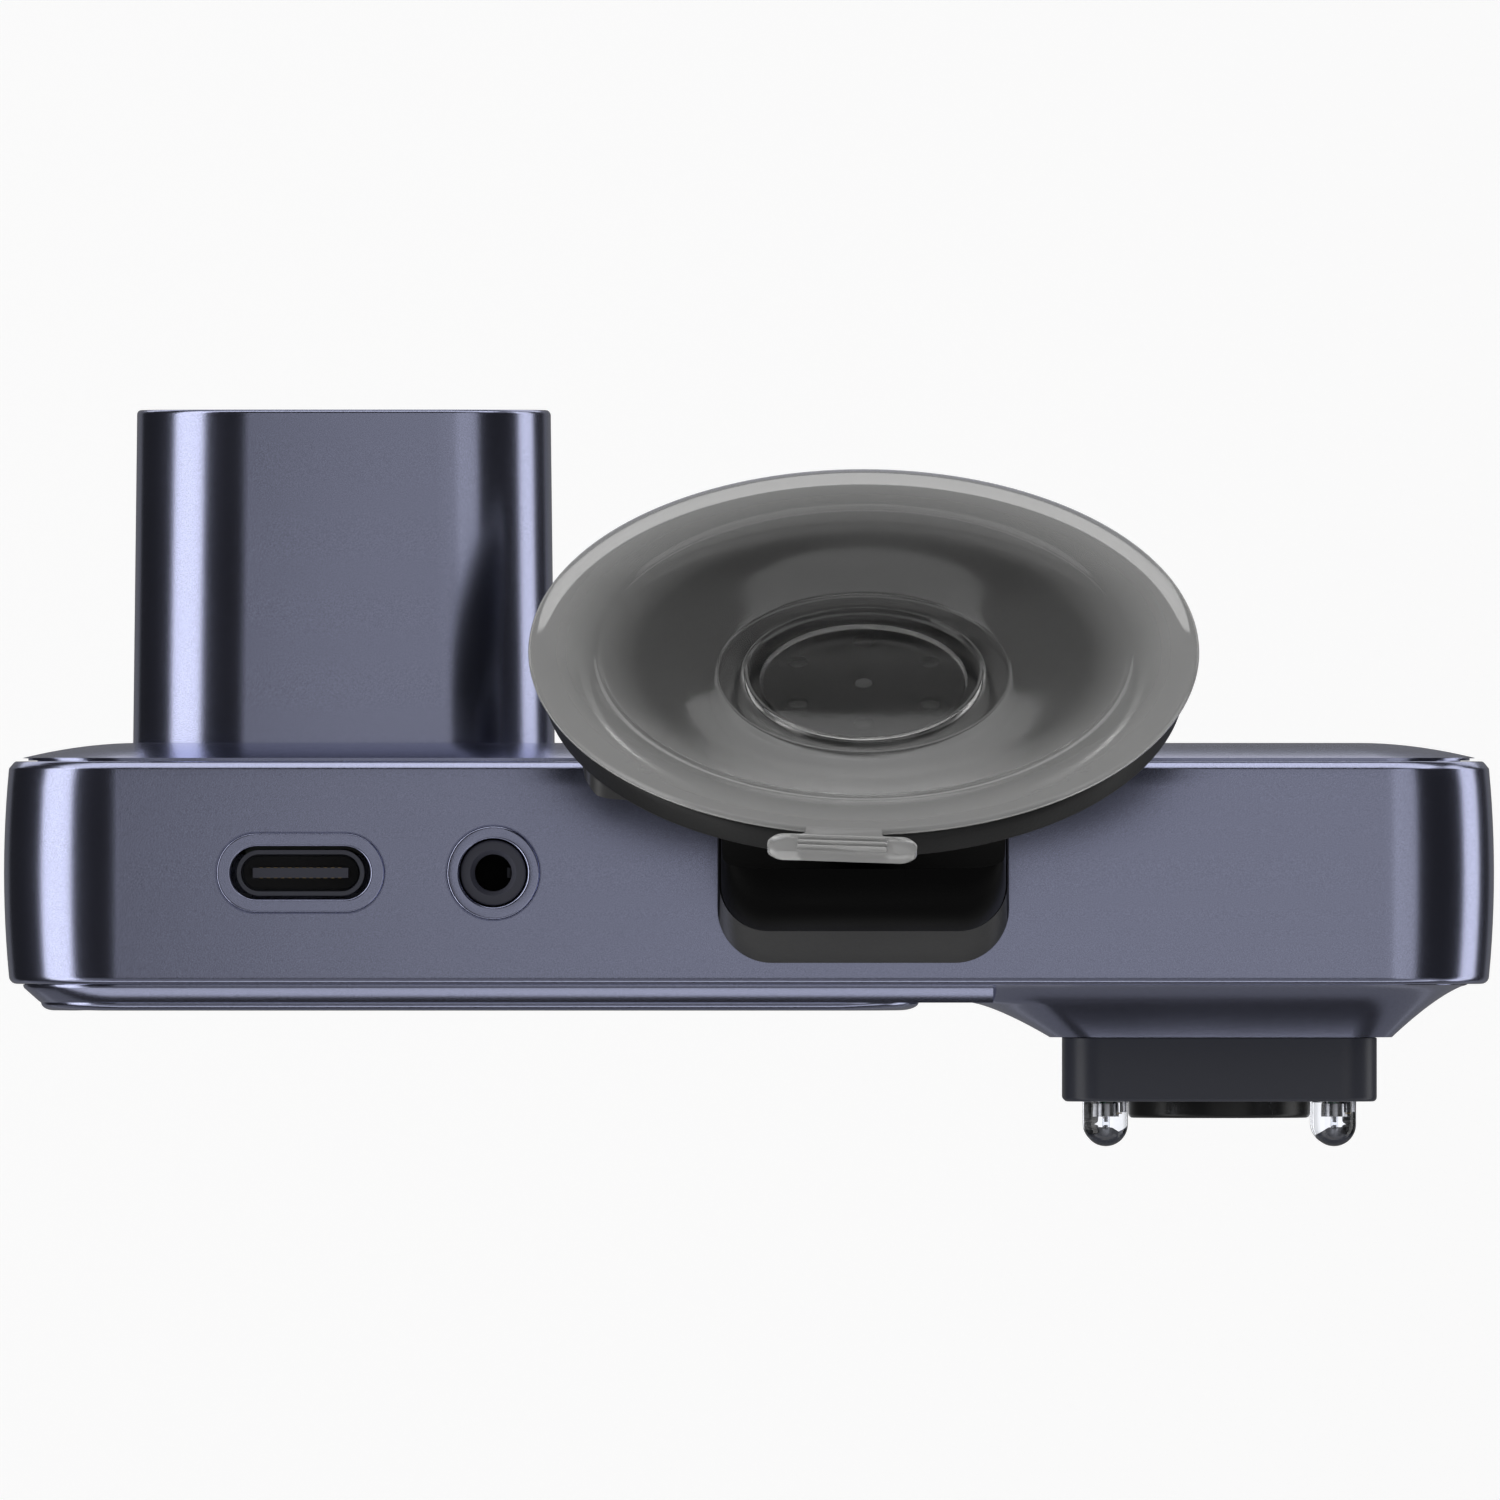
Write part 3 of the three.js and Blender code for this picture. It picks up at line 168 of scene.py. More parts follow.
def block(low, high):
    return prism(rounded(low[0], low[1], high[0], high[1], 0.01, 1), low[2], high[2], along_z)


def rod(radius, start, end, segments=48):
    return lathe([(0, start), (radius, start), (radius, end), (0, end)], segments)


def joined(*shells):
    points, faces = [], []
    for more, its_faces in shells:
        start = len(points)
        points += more
        faces += [[start + i for i in face] for face in its_faces]
    return points, faces


def arc(x, y, radius, start, end, steps=6):
    """Points of an arc about x, y between two angles in degrees."""
    turns = [math.radians(start + (end - start) * i / steps) for i in range(steps + 1)]
    return [(x + radius * math.cos(t), y + radius * math.sin(t)) for t in turns]


def mesh_of(shell, name="shell"):
    mesh = bpy.data.meshes.new(name)
    mesh.from_pydata(shell[0], [], shell[1])
    work = bmesh.new()
    work.from_mesh(mesh)
    bmesh.ops.remove_doubles(work, verts=work.verts, dist=1e-5)
    bmesh.ops.recalc_face_normals(work, faces=work.faces)
    work.to_mesh(mesh)
    work.free()
    return mesh


def solved(shell, tools, operation):
    """The shell after boolean steps with each tool."""
    base = bpy.data.objects.new("base", mesh_of(shell))
    helpers = [bpy.data.objects.new("tool", mesh_of(tool)) for tool in tools]
    for item in [base, *helpers]:
        bpy.context.scene.collection.objects.link(item)
    for helper in helpers:
        step = base.modifiers.new("step", "BOOLEAN")
        step.operation, step.object, step.solver = operation, helper, "EXACT"
    bpy.context.view_layer.update()
    result = bpy.data.meshes.new_from_object(base.evaluated_get(bpy.context.evaluated_depsgraph_get()))
    made = [tuple(v.co) for v in result.vertices], [list(p.vertices) for p in result.polygons]
    for item in [base, *helpers]:
        bpy.data.objects.remove(item)
    return made


def cut(shell, *tools):
    return solved(shell, tools, "DIFFERENCE")


def kept(shell, *tools):
    return solved(shell, tools, "INTERSECT")


def shade(mesh, sharp):
    mesh.shade_smooth()
    mesh.set_sharp_from_angle(angle=math.radians(sharp))


def keep_normals(mesh, uncut, sharp):
    """Shades a cut mesh as its uncut shell, so that a cut leaves no mark on a curved face."""
    whole = mesh_of(uncut)
    shade(whole, sharp)
    tree = BVHTree.FromPolygons([v.co for v in whole.vertices], [p.vertices for p in whole.polygons])
    normals = []
    for face in mesh.polygons:
        for corner in face.vertices:
            point = mesh.vertices[corner].co.lerp(face.center, 0.01)
            near, _, index, _ = tree.find_nearest(point)
            source = whole.polygons[index]
            weights = poly_3d_calc([whole.vertices[v].co for v in source.vertices], near)
            blend = Vector((0, 0, 0))
            for weight, loop in zip(weights, source.loop_indices):
                blend += weight * whole.corner_normals[loop].vector
            blend.normalize()
            normals.append(blend if blend.dot(face.normal) > 0.85 else face.normal.copy())
    mesh.normals_split_custom_set(normals)


def piece(name, shell, material, body, place=BODY, stands_for=(), sharp=35, bevel=0, uncut=None):
    """A finished piece: its mesh in the row's frame, smooth but for its real edges, on its CAD body."""
    mesh = mesh_of(shell, name)
    shade(mesh, sharp)
    if uncut:
        keep_normals(mesh, uncut, sharp)
    mesh.transform(place)
    mesh.materials.append(material)
    obj = bpy.data.objects.new(name, mesh)
    bpy.context.scene.collection.objects.link(obj)
    if bevel:
        edge = obj.modifiers.new("edge", "BEVEL")
        edge.width, edge.segments, edge.limit_method = bevel * MM, 3, "ANGLE"
        edge.angle_limit, edge.harden_normals = math.radians(38), True
    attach(obj, body)
    if stands_for:
        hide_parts(*stands_for)
    return obj


# ---------------- materials


class Look:
    """A Principled material with short calls for the nodes that give it its detail."""

    def __init__(self, name, color, roughness, **inputs):
        self.material = bpy.data.materials.new(name)
        self.material.use_nodes = True
        self.tree = self.material.node_tree
        self.shader = self.tree.nodes["Principled BSDF"]
        self.set("Base Color", (*color, 1))
        self.set("Roughness", roughness)
        for key, value in inputs.items():
            self.set(key.replace("_", " "), value)
        self.where = None

    def set(self, socket, value):
        match = next(s for s in self.shader.inputs if s.name.lower() == socket.lower())
        match.default_value = value

    def node(self, kind, **inputs):
        made = self.tree.nodes.new(kind)
        for key, value in inputs.items():
            target = made.inputs[key.replace("_", " ")]
            if isinstance(value, bpy.types.NodeSocket):
                self.tree.links.new(value, target)
            else:
                target.default_value = value
        return made

    def object_point(self):
        if not self.where:
            self.where = self.tree.nodes.new("ShaderNodeTexCoord").outputs["Object"]
        return self.where

    def noise(self, scale, detail=2.0, rough=0.5):
        return self.node("ShaderNodeTexNoise", Vector=self.object_point(), Scale=scale, Detail=detail,
                         Roughness=rough).outputs["Fac"]

    def ramp(self, factor, *stops):
        made = self.node("ShaderNodeValToRGB", Fac=factor)
        elements = made.color_ramp.elements
        while len(elements) < len(stops):
            elements.new(0.5)
        for element, (at, color) in zip(elements, stops):
            element.position = at
            element.color = (*color, 1) if isinstance(color, tuple) else (color, color, color, 1)
        return made.outputs["Color"]

    def drive(self, socket, output):
        match = next(s for s in self.shader.inputs if s.name.lower() == socket.lower())
        self.tree.links.new(output, match)
        return self

    def bump(self, height, strength, distance=0.0001):
        made = self.node("ShaderNodeBump", Height=height, Strength=strength, Distance=distance)
        return self.drive("Normal", made.outputs["Normal"])


def grained(name, color, roughness, spread, grain, depth, **inputs):
    """A moulded or sprayed surface: its roughness wanders a little, and a fine grain lies over it."""
    look = Look(name, color, roughness, **inputs)
    cloud = look.noise(120, 3)
    look.drive("Roughness", look.ramp(cloud, (0.3, roughness - spread), (0.7, roughness + spread)))
    look.bump(look.noise(grain, 2), depth, 0.00005)
    return look


NAVY = (0.47, 0.495, 0.69)


def navy_metal():
    look = grained("navy_satin_metal", NAVY, 0.2, 0.008, 9000, 0.05, metallic=1.0)
    flakes = look.noise(16000, 1)
    shades = [tuple(c * share for c in NAVY) for share in (0.88, 1.1)]
    return look.drive("Base Color", look.ramp(flakes, (0.35, shades[0]), (0.65, shades[1]))).material


def black_plastic(name="black_plastic", tone=0.012, roughness=0.48, grain=5200, depth=0.25, shine=0.4):
    color = (tone, tone, tone * 1.04)
    return grained(name, color, roughness, 0.05, grain, depth, specular_ior_level=shine).material


def slate_plastic(name, color):
    return grained(name, color, 0.34, 0.05, 7000, 0.08, specular_ior_level=0.4).material


def clear_rubber():
    look = Look("clear_rubber", (0.56, 0.56, 0.555), 0.08, ior=1.43, transmission_weight=0.9)
    milk = look.node("ShaderNodeAttribute")
    milk.attribute_name = "milk"
    look.drive("Transmission Weight", look.ramp(milk.outputs["Fac"], (0.0, 0.995), (1.0, 0.35)))
    streaks = look.noise(90, 5, 0.6)
    look.drive("Roughness", look.ramp(streaks, (0.35, 0.06), (0.65, 0.14)))
    return look.bump(look.noise(420, 4), 0.05, 0.0002).material


def clear_resin():
    look = Look("clear_resin", (0.93, 0.95, 1.0), 0.02, ior=1.5, transmission_weight=1.0)
    return look.bump(look.noise(900, 2), 0.02).material


def coated_glass(name, near, far):
    look = Look(name, (0.75, 0.8, 0.9), 0.015, ior=1.52, transmission_weight=1.0)
    facing = look.node("ShaderNodeLayerWeight", Blend=0.35).outputs["Facing"]
    look.drive("Specular Tint", look.ramp(facing, (0.0, near), (0.55, far), (1.0, (1, 1, 1))))
    look.set("Specular IOR Level", 0.8)
    return look.material


def dark_glass():
    look = Look("screen_glass", (0.006, 0.006, 0.008), 0.05, specular_ior_level=0.6, coat_weight=1.0,
                coat_roughness=0.02)
    smears = look.noise(60, 5, 0.65)
    return look.drive("Roughness", look.ramp(smears, (0.4, 0.04), (0.7, 0.12))).material


def machined(name, color, roughness, rings=5200):
    look = Look(name, color, roughness, metallic=1.0)
    turned = look.node("ShaderNodeTexNoise", Vector=look.object_point(), Scale=rings, Detail=2.0)
    return look.bump(turned.outputs["Fac"], 0.15, 0.00003).material


def circuit_board():
    look = Look("circuit_board", (0.01, 0.09, 0.04), 0.35, coat_weight=0.4)
    bricks = look.node("ShaderNodeTexVoronoi", Vector=look.object_point(), Scale=420.0)
    tracks = look.ramp(bricks.outputs["Distance"], (0.3, (0.01, 0.09, 0.04)), (0.38, (0.02, 0.16, 0.07)))
    return look.drive("Base Color", tracks).bump(bricks.outputs["Distance"], 0.2).material


METAL = navy_metal()
BLACK = black_plastic()
SMOOTH_BLACK = black_plastic("smooth_black_plastic", 0.01, 0.3, 7000, 0.08)
PORT_PLASTIC = slate_plastic("port_plastic", (0.04, 0.041, 0.056))
LEVER_PLASTIC = black_plastic("lever_plastic", 0.03, 0.3, 7000, 0.08, 0.6)
GATE_GREY = grained("sprue_grey", (0.42, 0.42, 0.43), 0.5, 0.05, 3000, 0.5).material
DIMPLE_GREY = grained("dimple_grey", (0.07, 0.07, 0.072), 0.3, 0.05, 3000, 0.3).material
# A lighter, glossier black for the rear-facing faces of the foot: a painted highlight on that side, not a
# tone of the plastic.
FOOT_REAR_HIGHLIGHT_BLACK = black_plastic("foot_rear_painted_highlight", 0.03, 0.42, 2600, 0.5, 0.6)
FOOT_BLACK = black_plastic("foot_plastic", 0.0015, 0.5, 6000, 0.12, 0.08)
BUTTON_BLACK = black_plastic("cup_button_plastic", 0.002, 0.5, 4200, 0.35, 0.12)
DISH_BLACK = black_plastic("dish_plastic", 0.01, 0.5, 4200, 0.35)
CABIN_SLATE = slate_plastic("cabin_block_plastic", (0.032, 0.034, 0.045))
RUBBER = clear_rubber()
RESIN = clear_resin()
FRONT_GLASS = coated_glass("front_lens_glass", (0.25, 0.2, 0.9), (0.3, 0.9, 0.6))
CABIN_GLASS = coated_glass("cabin_lens_glass", (0.7, 0.3, 0.25), (0.4, 0.5, 0.9))
SCREEN = dark_glass()
DISPLAY = Look("display", (0.012, 0.014, 0.02), 0.25, specular_ior_level=0.3)
DISPLAY = DISPLAY.bump(DISPLAY.noise(9000, 1), 0.05).material
DARK_METAL = machined("black_anodised_metal", (0.05, 0.05, 0.055), 0.3)
STEEL = machined("steel", (0.55, 0.55, 0.57), 0.24)
PORT_METAL = machined("dark_nickel", (0.16, 0.165, 0.2), 0.4)
GOLD = machined("gold_contacts", (0.85, 0.62, 0.25), 0.25)
BOARD = circuit_board()
CHIP = grained("chip_resin", (0.015, 0.015, 0.017), 0.55, 0.05, 8000, 0.2).material
CELL = grained("cell_foil", (0.5, 0.52, 0.56), 0.32, 0.05, 700, 0.3, metallic=0.9).material
BY_SLOT = {
    "anodised": METAL, "shell": METAL, "black": BLACK, "gloss": SCREEN, "clear_rubber": RUBBER,
    "clear_resin": RESIN, "glass": FRONT_GLASS, "dark_metal": DARK_METAL, "steel": STEEL, "board": BOARD,
    "chip": CHIP, "cell": CELL,
}
for part in frame["record"]["subparts"]:
    slots = frame["nodes"][part["node"]].data.materials
    slots.clear()
    slots.append(BY_SLOT[part["material_slot"]])


# ---------------- body shells

WIDTH, HEIGHT, DEPTH, CORNER = 104.5, 52.0, 15.6, 8.0
TOP, FRONT = HEIGHT / 2, DEPTH / 2
WALL, CROWN, EDGE = 1.8, 0.4, 0.55
THROUGH = 40
COVER_INSET, COVER_SEAM, COVER_THICK, PILLOW = 1.35, 0.05, 1.25, 8
COVER_X, COVER_Z = WIDTH / 2 - COVER_INSET, TOP - COVER_INSET
COVER_FRONT = FRONT + COVER_SEAM + COVER_THICK
COVER_BACK = -COVER_FRONT
FRAME_RISE, FRAME_SLOPE = 0.56, 0.9  # the raised frame round the screen
SCREEN_FACE = COVER_BACK - FRAME_RISE
CAVITY = WALL + CROWN
HOUSING_X, HOUSING_WIDTH = -28.5, 29.6
TIP = COVER_FRONT + 23.4
TIP_WIDTH = HOUSING_WIDTH - 0.55
TIP_WALL, PLATE_SEAT = 2.3, 1.7  # the barrel's wall, and how far the seat of its face plate is cut into it
RIDGE_X, RIDGE_WIDTH, RIDGE_RISE, RIDGE_COVE, RIDGE_LEFT = 33.1, 24, 3.7, 5.3, 7.4
RIDGE_START, RIDGE_END = RIDGE_X - RIDGE_WIDTH / 2, RIDGE_X + RIDGE_WIDTH / 2
RIDGE_TOP = -(FRONT + COVER_SEAM + RIDGE_RISE)
SCREEN_AREA = (-47.0, -16.4, 8.0, 22.0)
KEY_Z, KEY_LONG, KEY_SHORT = -19.9, 8.0, 3.4
USB_X, AV_X, MOUNT_X = -31.4, -17.9, 8.0
POSTS = [(sx * (WIDTH / 2 - CAVITY - 3.2), sz * (TOP - CAVITY - 6.8)) for sx in (-1, 1) for sz in (-1, 1)]
RAIL_NECK, RAIL_FLANGE, RAIL_REAR = 2.7, 4.7, -5.0
SLOT_CEILING = TOP - 1.2
SLOT_FLOOR = SLOT_CEILING - 1.15 - 2 * FIT


def eased(steps):
    """Shares of a quarter turn, from its start to its end: (sine, one less its cosine)."""
    turns = [math.pi / 2 * i / steps for i in range(steps + 1)]
    return [(math.sin(t), 1 - math.cos(t)) for t in turns]


def body_outline(inset):
    return centred(0, 0, WIDTH - 2 * inset, HEIGHT - 2 * inset, CORNER - inset, 24)


def rail_slot():
    rear = RAIL_REAR - FIT
    neck, flange = RAIL_NECK + FIT, RAIL_FLANGE + FIT
    return [
        block((MOUNT_X - neck, rear, SLOT_FLOOR), (MOUNT_X + neck, THROUGH, TOP + 1)),
        block((MOUNT_X - flange, rear, SLOT_FLOOR), (MOUNT_X + flange, THROUGH, SLOT_CEILING)),
    ]


def rail_boss(room=0.0):
    half = RAIL_FLANGE + FIT + 1.5 + room
    low, high = SLOT_FLOOR - 1.5 - room, TOP - CROWN - 0.2
    return block((MOUNT_X - half, RAIL_REAR - 1.2, low), (MOUNT_X + half, FRONT - 0.05 + room, high))


def band():
    flat = FRONT - EDGE
    inset = CROWN * (flat / FRONT) ** 2
    rear_edge = [(-flat - EDGE * rise, inset + EDGE * drop) for rise, drop in eased(5)]
    front_edge = [(flat, inset), (flat + 0.08, inset + 0.03), (FRONT - 0.1, inset + 0.34),
                  (FRONT - 0.03, inset + 0.43), (FRONT, inset + 0.5)]
    middle = [(flat * (i / 6 - 1), CROWN * (flat * (i / 6 - 1) / FRONT) ** 2) for i in range(1, 12)]
    stations = rear_edge[::-1] + middle + front_edge
    shell = loft([(y, body_outline(taken)) for y, taken in stations])
    hollow = centred(0, 0, WIDTH - 2 * CAVITY, HEIGHT - 2 * CAVITY, CORNER - CAVITY, 12)
    slots = [
        prism(centred(24 + i * 2.2, 0.9, 0.9, 7 - abs(i), 0.45, 6), -TOP - 1, -TOP + 3, along_z)
        for i in range(-2, 3)
    ]
    recesses = joined(
        prism(stadium(11.8, 5.56, 0.1), TOP - 1.25, TOP + 1, along_z),
        lifted(rod(3.38, TOP - 1.25, TOP + 1), AV_X, 0),
        prism(centred(-5.3, 0, 1.6, 11.8, 0.6, 6), -WIDTH / 2 - 1, -WIDTH / 2 + 4, along_x),
        lifted(rod(0.6, -TOP - 1, -TOP + 3, 24), -12, 0),
        *slots,
    )
    openings = joined(
        prism(stadium(9.8, 3.7), TOP - 4, TOP + 1, along_z), lifted(rod(2.4, TOP - 4, TOP + 1), AV_X, 0)
    )
    made = cut(shell, prism(hollow, -THROUGH, THROUGH), recesses, openings, *rail_slot())
    return joined(made, cut(rail_boss(), *rail_slot())), shell


def stadium(long, short, grow=0.0, x=USB_X):
    return centred(x, 0, long + 2 * grow, short + 2 * grow, short / 2 + grow, 12)


shell, uncut = band()
piece("band", shell, METAL, "camera", stands_for=["mid_frame"], uncut=uncut)


def cover_lip(start, end):
    def ring(inset):
        gap = 2 * (CAVITY + FIT + inset)
        return centred(0, 0, WIDTH - gap, HEIGHT - gap, CORNER - CAVITY - inset, 12)

    return cut(prism(ring(0), start, end), prism(ring(1), -THROUGH, THROUGH))


def front_cover():
    seat = FRONT + COVER_SEAM
    shares = [(i / 14) ** 1.5 for i in range(15)]
    groove = [(seat, 0.045), (seat + 0.16, 0.045), (seat + 0.17, 0.0)]
    levels = groove + [(seat + 0.2 + 1.05 * (1 - (1 - share) ** 1.9), share) for share in shares]

    def pillow(share):
        taken = 2 * (COVER_INSET + share * PILLOW)
        return centred(0, 0, WIDTH - taken, HEIGHT - taken, CORNER - COVER_INSET - share * 3, 24)

    plate = loft([(y, pillow(share)) for y, share in levels])
    gap = HOUSING_WIDTH + 2 * FIT
    opening = prism(centred(HOUSING_X, 0, gap, gap, CORNER, 20), -THROUGH, THROUGH)
    posts = [
        facing_y(cut(rod(2.2, -2.95, seat + 0.2, 24), rod(0.8, -THROUGH, 4, 16)), x, z) for x, z in POSTS
    ]
    lip = cut(cover_lip(seat - 0.9, seat + 0.1), *rail_slot(), rail_boss(FIT))
    return joined(cut(plate, opening), lip, *posts), plate


shell, uncut = front_cover()
piece("front_cover_shell", shell, METAL, "camera", stands_for=["front_cover"], uncut=uncut)


def cove_spread(rise, height, width):
    return width * (1 - (min(max(rise, 0), height) / height) ** (1 / 1.35))


def ridge():
    base = -(FRONT + COVER_SEAM)
    left_base = RIDGE_LEFT - 1.8
    half = (HEIGHT - 2 * (COVER_INSET + RIDGE_COVE)) / 2
    levels = []
    for i in range(25):
        rise = RIDGE_RISE * i / 24
        spread = cove_spread(rise, RIDGE_RISE, RIDGE_COVE)
        left = RIDGE_LEFT - (RIDGE_LEFT - left_base) * rise / COVER_THICK
        if rise >= COVER_THICK:
            left = cove_spread(rise - COVER_THICK, RIDGE_RISE - COVER_THICK, left_base)
        corner = 3 + (CORNER - COVER_INSET - 3) * spread / RIDGE_COVE
        outline = rounded(RIDGE_START - left, -half - spread, RIDGE_END + spread, half + spread, corner, 24)
        levels.append((base - rise, outline))
    return loft(levels)


def screen_outline(inset, radius, steps=10):
    left, low, right, high = SCREEN_AREA
    return rounded(left + inset, low + inset, right - inset, high - inset, radius, steps)


KEYS = ("power", "menu", "up", "down", "record")
FIRST_KEY, LAST_KEY = SCREEN_AREA[0] + 5, SCREEN_AREA[2] - 5
KEY_PLACES = [FIRST_KEY + i * (LAST_KEY - FIRST_KEY) / 4 for i in range(5)]


def rear_cover():
    base = -(FRONT + COVER_SEAM)
    right = RIDGE_START - RIDGE_LEFT - 1.8
    corner, slope = CORNER - COVER_INSET, 1.25

    def plate_level(y, inset):
        return y, rounded(
            -COVER_X + inset, -COVER_Z + inset, COVER_X - inset, COVER_Z - inset, corner - inset, 24
        )

    bevel = ((0, 0), (0.12, 0.05), (0.9, 0.86))
    plate = loft([
        plate_level(base, 0),
        *[plate_level(base - 0.1 - 1.15 * rise, slope * share) for rise, share in bevel],
        plate_level(COVER_BACK, slope),
    ])
    cut_off = block((RIDGE_START - 4, -THROUGH, -THROUGH), (2 * THROUGH, THROUGH, THROUGH))
    frame_levels = [(COVER_BACK + 0.2, 0.0)] + [
        (COVER_BACK - FRAME_RISE * rise, FRAME_SLOPE * drop) for rise, drop in eased(8)
    ]

    def frame_outline(taken):
        return rounded(
            -COVER_X + slope + taken, -COVER_Z + slope + taken, right - taken * 1.5, COVER_Z - slope - taken,
            corner - slope, 24,
        )

    screen_frame = loft([(y, frame_outline(taken)) for y, taken in frame_levels])
    pocket_floor = SCREEN_FACE + 1.08 + FIT / 2
    keys = joined(*[
        prism(centred(x, KEY_Z, KEY_LONG + 0.3, KEY_SHORT + 0.3, KEY_SHORT / 2 + FIT, 12), -THROUGH, 0)
        for x in KEY_PLACES
    ])
    pocket = prism(screen_outline(-FIT, 1.6), pocket_floor, -THROUGH)
    openings = [pocket, prism(screen_outline(2.25, 0.8), -THROUGH, 0), keys]
    hollow = prism(centred(RIDGE_X, 0, 17, 25, 2, 6), RIDGE_TOP + 1.3, 0)
    hump = cut(ridge(), hollow, facing_y(rod(5.35, -THROUGH, 0), RIDGE_X))
    lip = cover_lip(base - 0.1, base + 0.9)
    return joined(cut(plate, cut_off, *openings), cut(screen_frame, *openings), hump, lip)


piece("rear_cover_shell", rear_cover(), METAL, "camera", stands_for=["rear_cover"], sharp=28)


def lens_housing():
    def square(width, corner):
        return centred(HOUSING_X, 0, width, width, corner, 28)

    root = FRONT - 0.2
    lip = [(TIP - 0.3 + 0.3 * rise, TIP_WIDTH - 0.6 * drop) for rise, drop in eased(5)]
    levels = [
        (root - 2.4, square(HOUSING_WIDTH + 2, CORNER)), (root, square(HOUSING_WIDTH + 2, CORNER)),
        (root + 0.001, square(HOUSING_WIDTH, CORNER)), (COVER_FRONT, square(HOUSING_WIDTH, CORNER)),
        *[(y, square(width, CORNER - (TIP_WIDTH - width) / 2)) for y, width in lip],
    ]
    outer = loft(levels)
    inner = square(TIP_WIDTH - 2 * TIP_WALL, CORNER - TIP_WALL)
    seat = square(TIP_WIDTH - 2 * PLATE_SEAT, CORNER - PLATE_SEAT)
    plate_back = TIP - 2.9 - FIT
    return cut(outer, prism(inner, -THROUGH, THROUGH), prism(seat, plate_back, THROUGH))


piece("lens_barrel", lens_housing(), METAL, "camera", stands_for=["lens_housing"])

# ---------------- front lens

PLATE_FRONT = TIP - 1.5
TUBE_FRONT = PLATE_FRONT - 2.0
TUBE_BACK = TUBE_FRONT - 23
plate_width = TIP_WIDTH - 2 * PLATE_SEAT - 2 * FIT
plate_outline = centred(HOUSING_X, 0, plate_width, plate_width, CORNER - PLATE_SEAT - FIT, 20)
face_plate = cut(
    prism(plate_outline, PLATE_FRONT - 1.4, PLATE_FRONT),
    facing_y(rod(8.75, -THROUGH, THROUGH, 96), HOUSING_X),
)
piece(
    "lens_face_plate", face_plate, SMOOTH_BLACK, "camera", stands_for=["lens_front_plate"],
    bevel=0.2,
)

ring_face = PLATE_FRONT + FIT / 2 + 0.9
steps_in = [(7.0 + 0.31 * i, ring_face - 1.6 + 0.2 * i + lift) for i in range(8) for lift in (0, 0.2)]
trim_ring = lathe([
    (7.0, PLATE_FRONT - 1.8), (8.6, PLATE_FRONT - 1.8), (8.6, PLATE_FRONT + 0.075),
    (10.2, PLATE_FRONT + 0.075), (10.2, ring_face - 0.25), *arc(9.95, ring_face - 0.25, 0.25, 0, 90),
    (9.3, ring_face), *steps_in[::-1],
], 128)
piece(
    "lens_trim_ring", facing_y(trim_ring, HOUSING_X), DARK_METAL, "camera", stands_for=["lens_ring"],
    sharp=30,
)

step = TUBE_BACK + 7.4
baffles = []
for i in range(9):
    depth = TUBE_FRONT - 2.8 - i * 1.25
    baffles += [(5.75 - i * 0.04, depth), (5.45 - i * 0.04, depth - 0.9)]
tube = lathe([
    (4.6, TUBE_BACK), (5.85, TUBE_BACK), (5.85, step), (8.5, step + 0.8), (8.5, TUBE_FRONT),
    (6.85, TUBE_FRONT), (6.85, TUBE_FRONT - 2.6), *baffles, (4.6, step),
])
piece("lens_barrel_tube", facing_y(tube, HOUSING_X), DARK_METAL, "camera", stands_for=["lens_tube"],
      sharp=30)


def dome(radius, rim, rise, steps=14):
    return [(radius * (1 - i / steps), rim + rise * (1 - (1 - i / steps) ** 2)) for i in range(steps + 1)]


rim = TUBE_FRONT - 0.1
glass = lathe([
    *dome(6.1, TUBE_FRONT - 2.4, 0.9)[::-1], (6.7, TUBE_FRONT - 2.4), (6.7, rim - 0.15), (6.6, rim),
    *dome(6.5, rim, 1.5)[1:],
])
piece("lens_glass", facing_y(glass, HOUSING_X), FRONT_GLASS, "camera", stands_for=["lens_front_glass"])
iris = lathe([(2.6, step + 2.4), (5.2, step + 2.2), (5.2, step + 2.7), (2.6, step + 2.5)])
piece("lens_iris", facing_y(iris, HOUSING_X), BLACK, "camera")

# ---------------- ports

usb_plate = cut(
    prism(stadium(11.8, 5.56), TOP - 1.1, TOP - 0.02, along_z),
    prism(stadium(9.8, 3.7), -THROUGH, THROUGH, along_z),
)
piece("usb_bezel_ring", usb_plate, METAL, "camera", stands_for=["usb_bezel"], bevel=0.16)
mouth = TOP - 0.5
can = cut(
    prism(stadium(8.94, 3.2), mouth - 7.4, mouth, along_z),
    prism(stadium(8.34, 2.6), mouth - 7, mouth + 1, along_z),
)
legs = [block((USB_X + s * 3.87 - 0.4, -2.95, mouth - 6.4), (USB_X + s * 3.87 + 0.4, -1.4, mouth - 4.4))
        for s in (-1, 1)]
piece("usb_can", joined(can, *legs), PORT_METAL, "camera", stands_for=["usb_shell"],
      bevel=0.06)
tongue_floor = mouth - 7 + FIT
tongue = joined(
    prism(stadium(8.04, 2.3), tongue_floor, tongue_floor + 1.2, along_z),
    block((USB_X - 3.345, -0.35, tongue_floor), (USB_X + 3.345, 0.35, tongue_floor + 6.4)),
)
piece("usb_blade", tongue, PORT_PLASTIC, "camera", stands_for=["usb_tongue"], bevel=0.1)
contacts = [
    block((USB_X - 2.75 + 0.5 * i - 0.13, side * 0.35 - 0.02, tongue_floor + 2.2),
          (USB_X - 2.75 + 0.5 * i + 0.13, side * 0.35 + 0.02, tongue_floor + 6.1))
    for i in range(12) for side in (-1, 1)
]
piece("usb_contacts", joined(*contacts), GOLD, "camera")

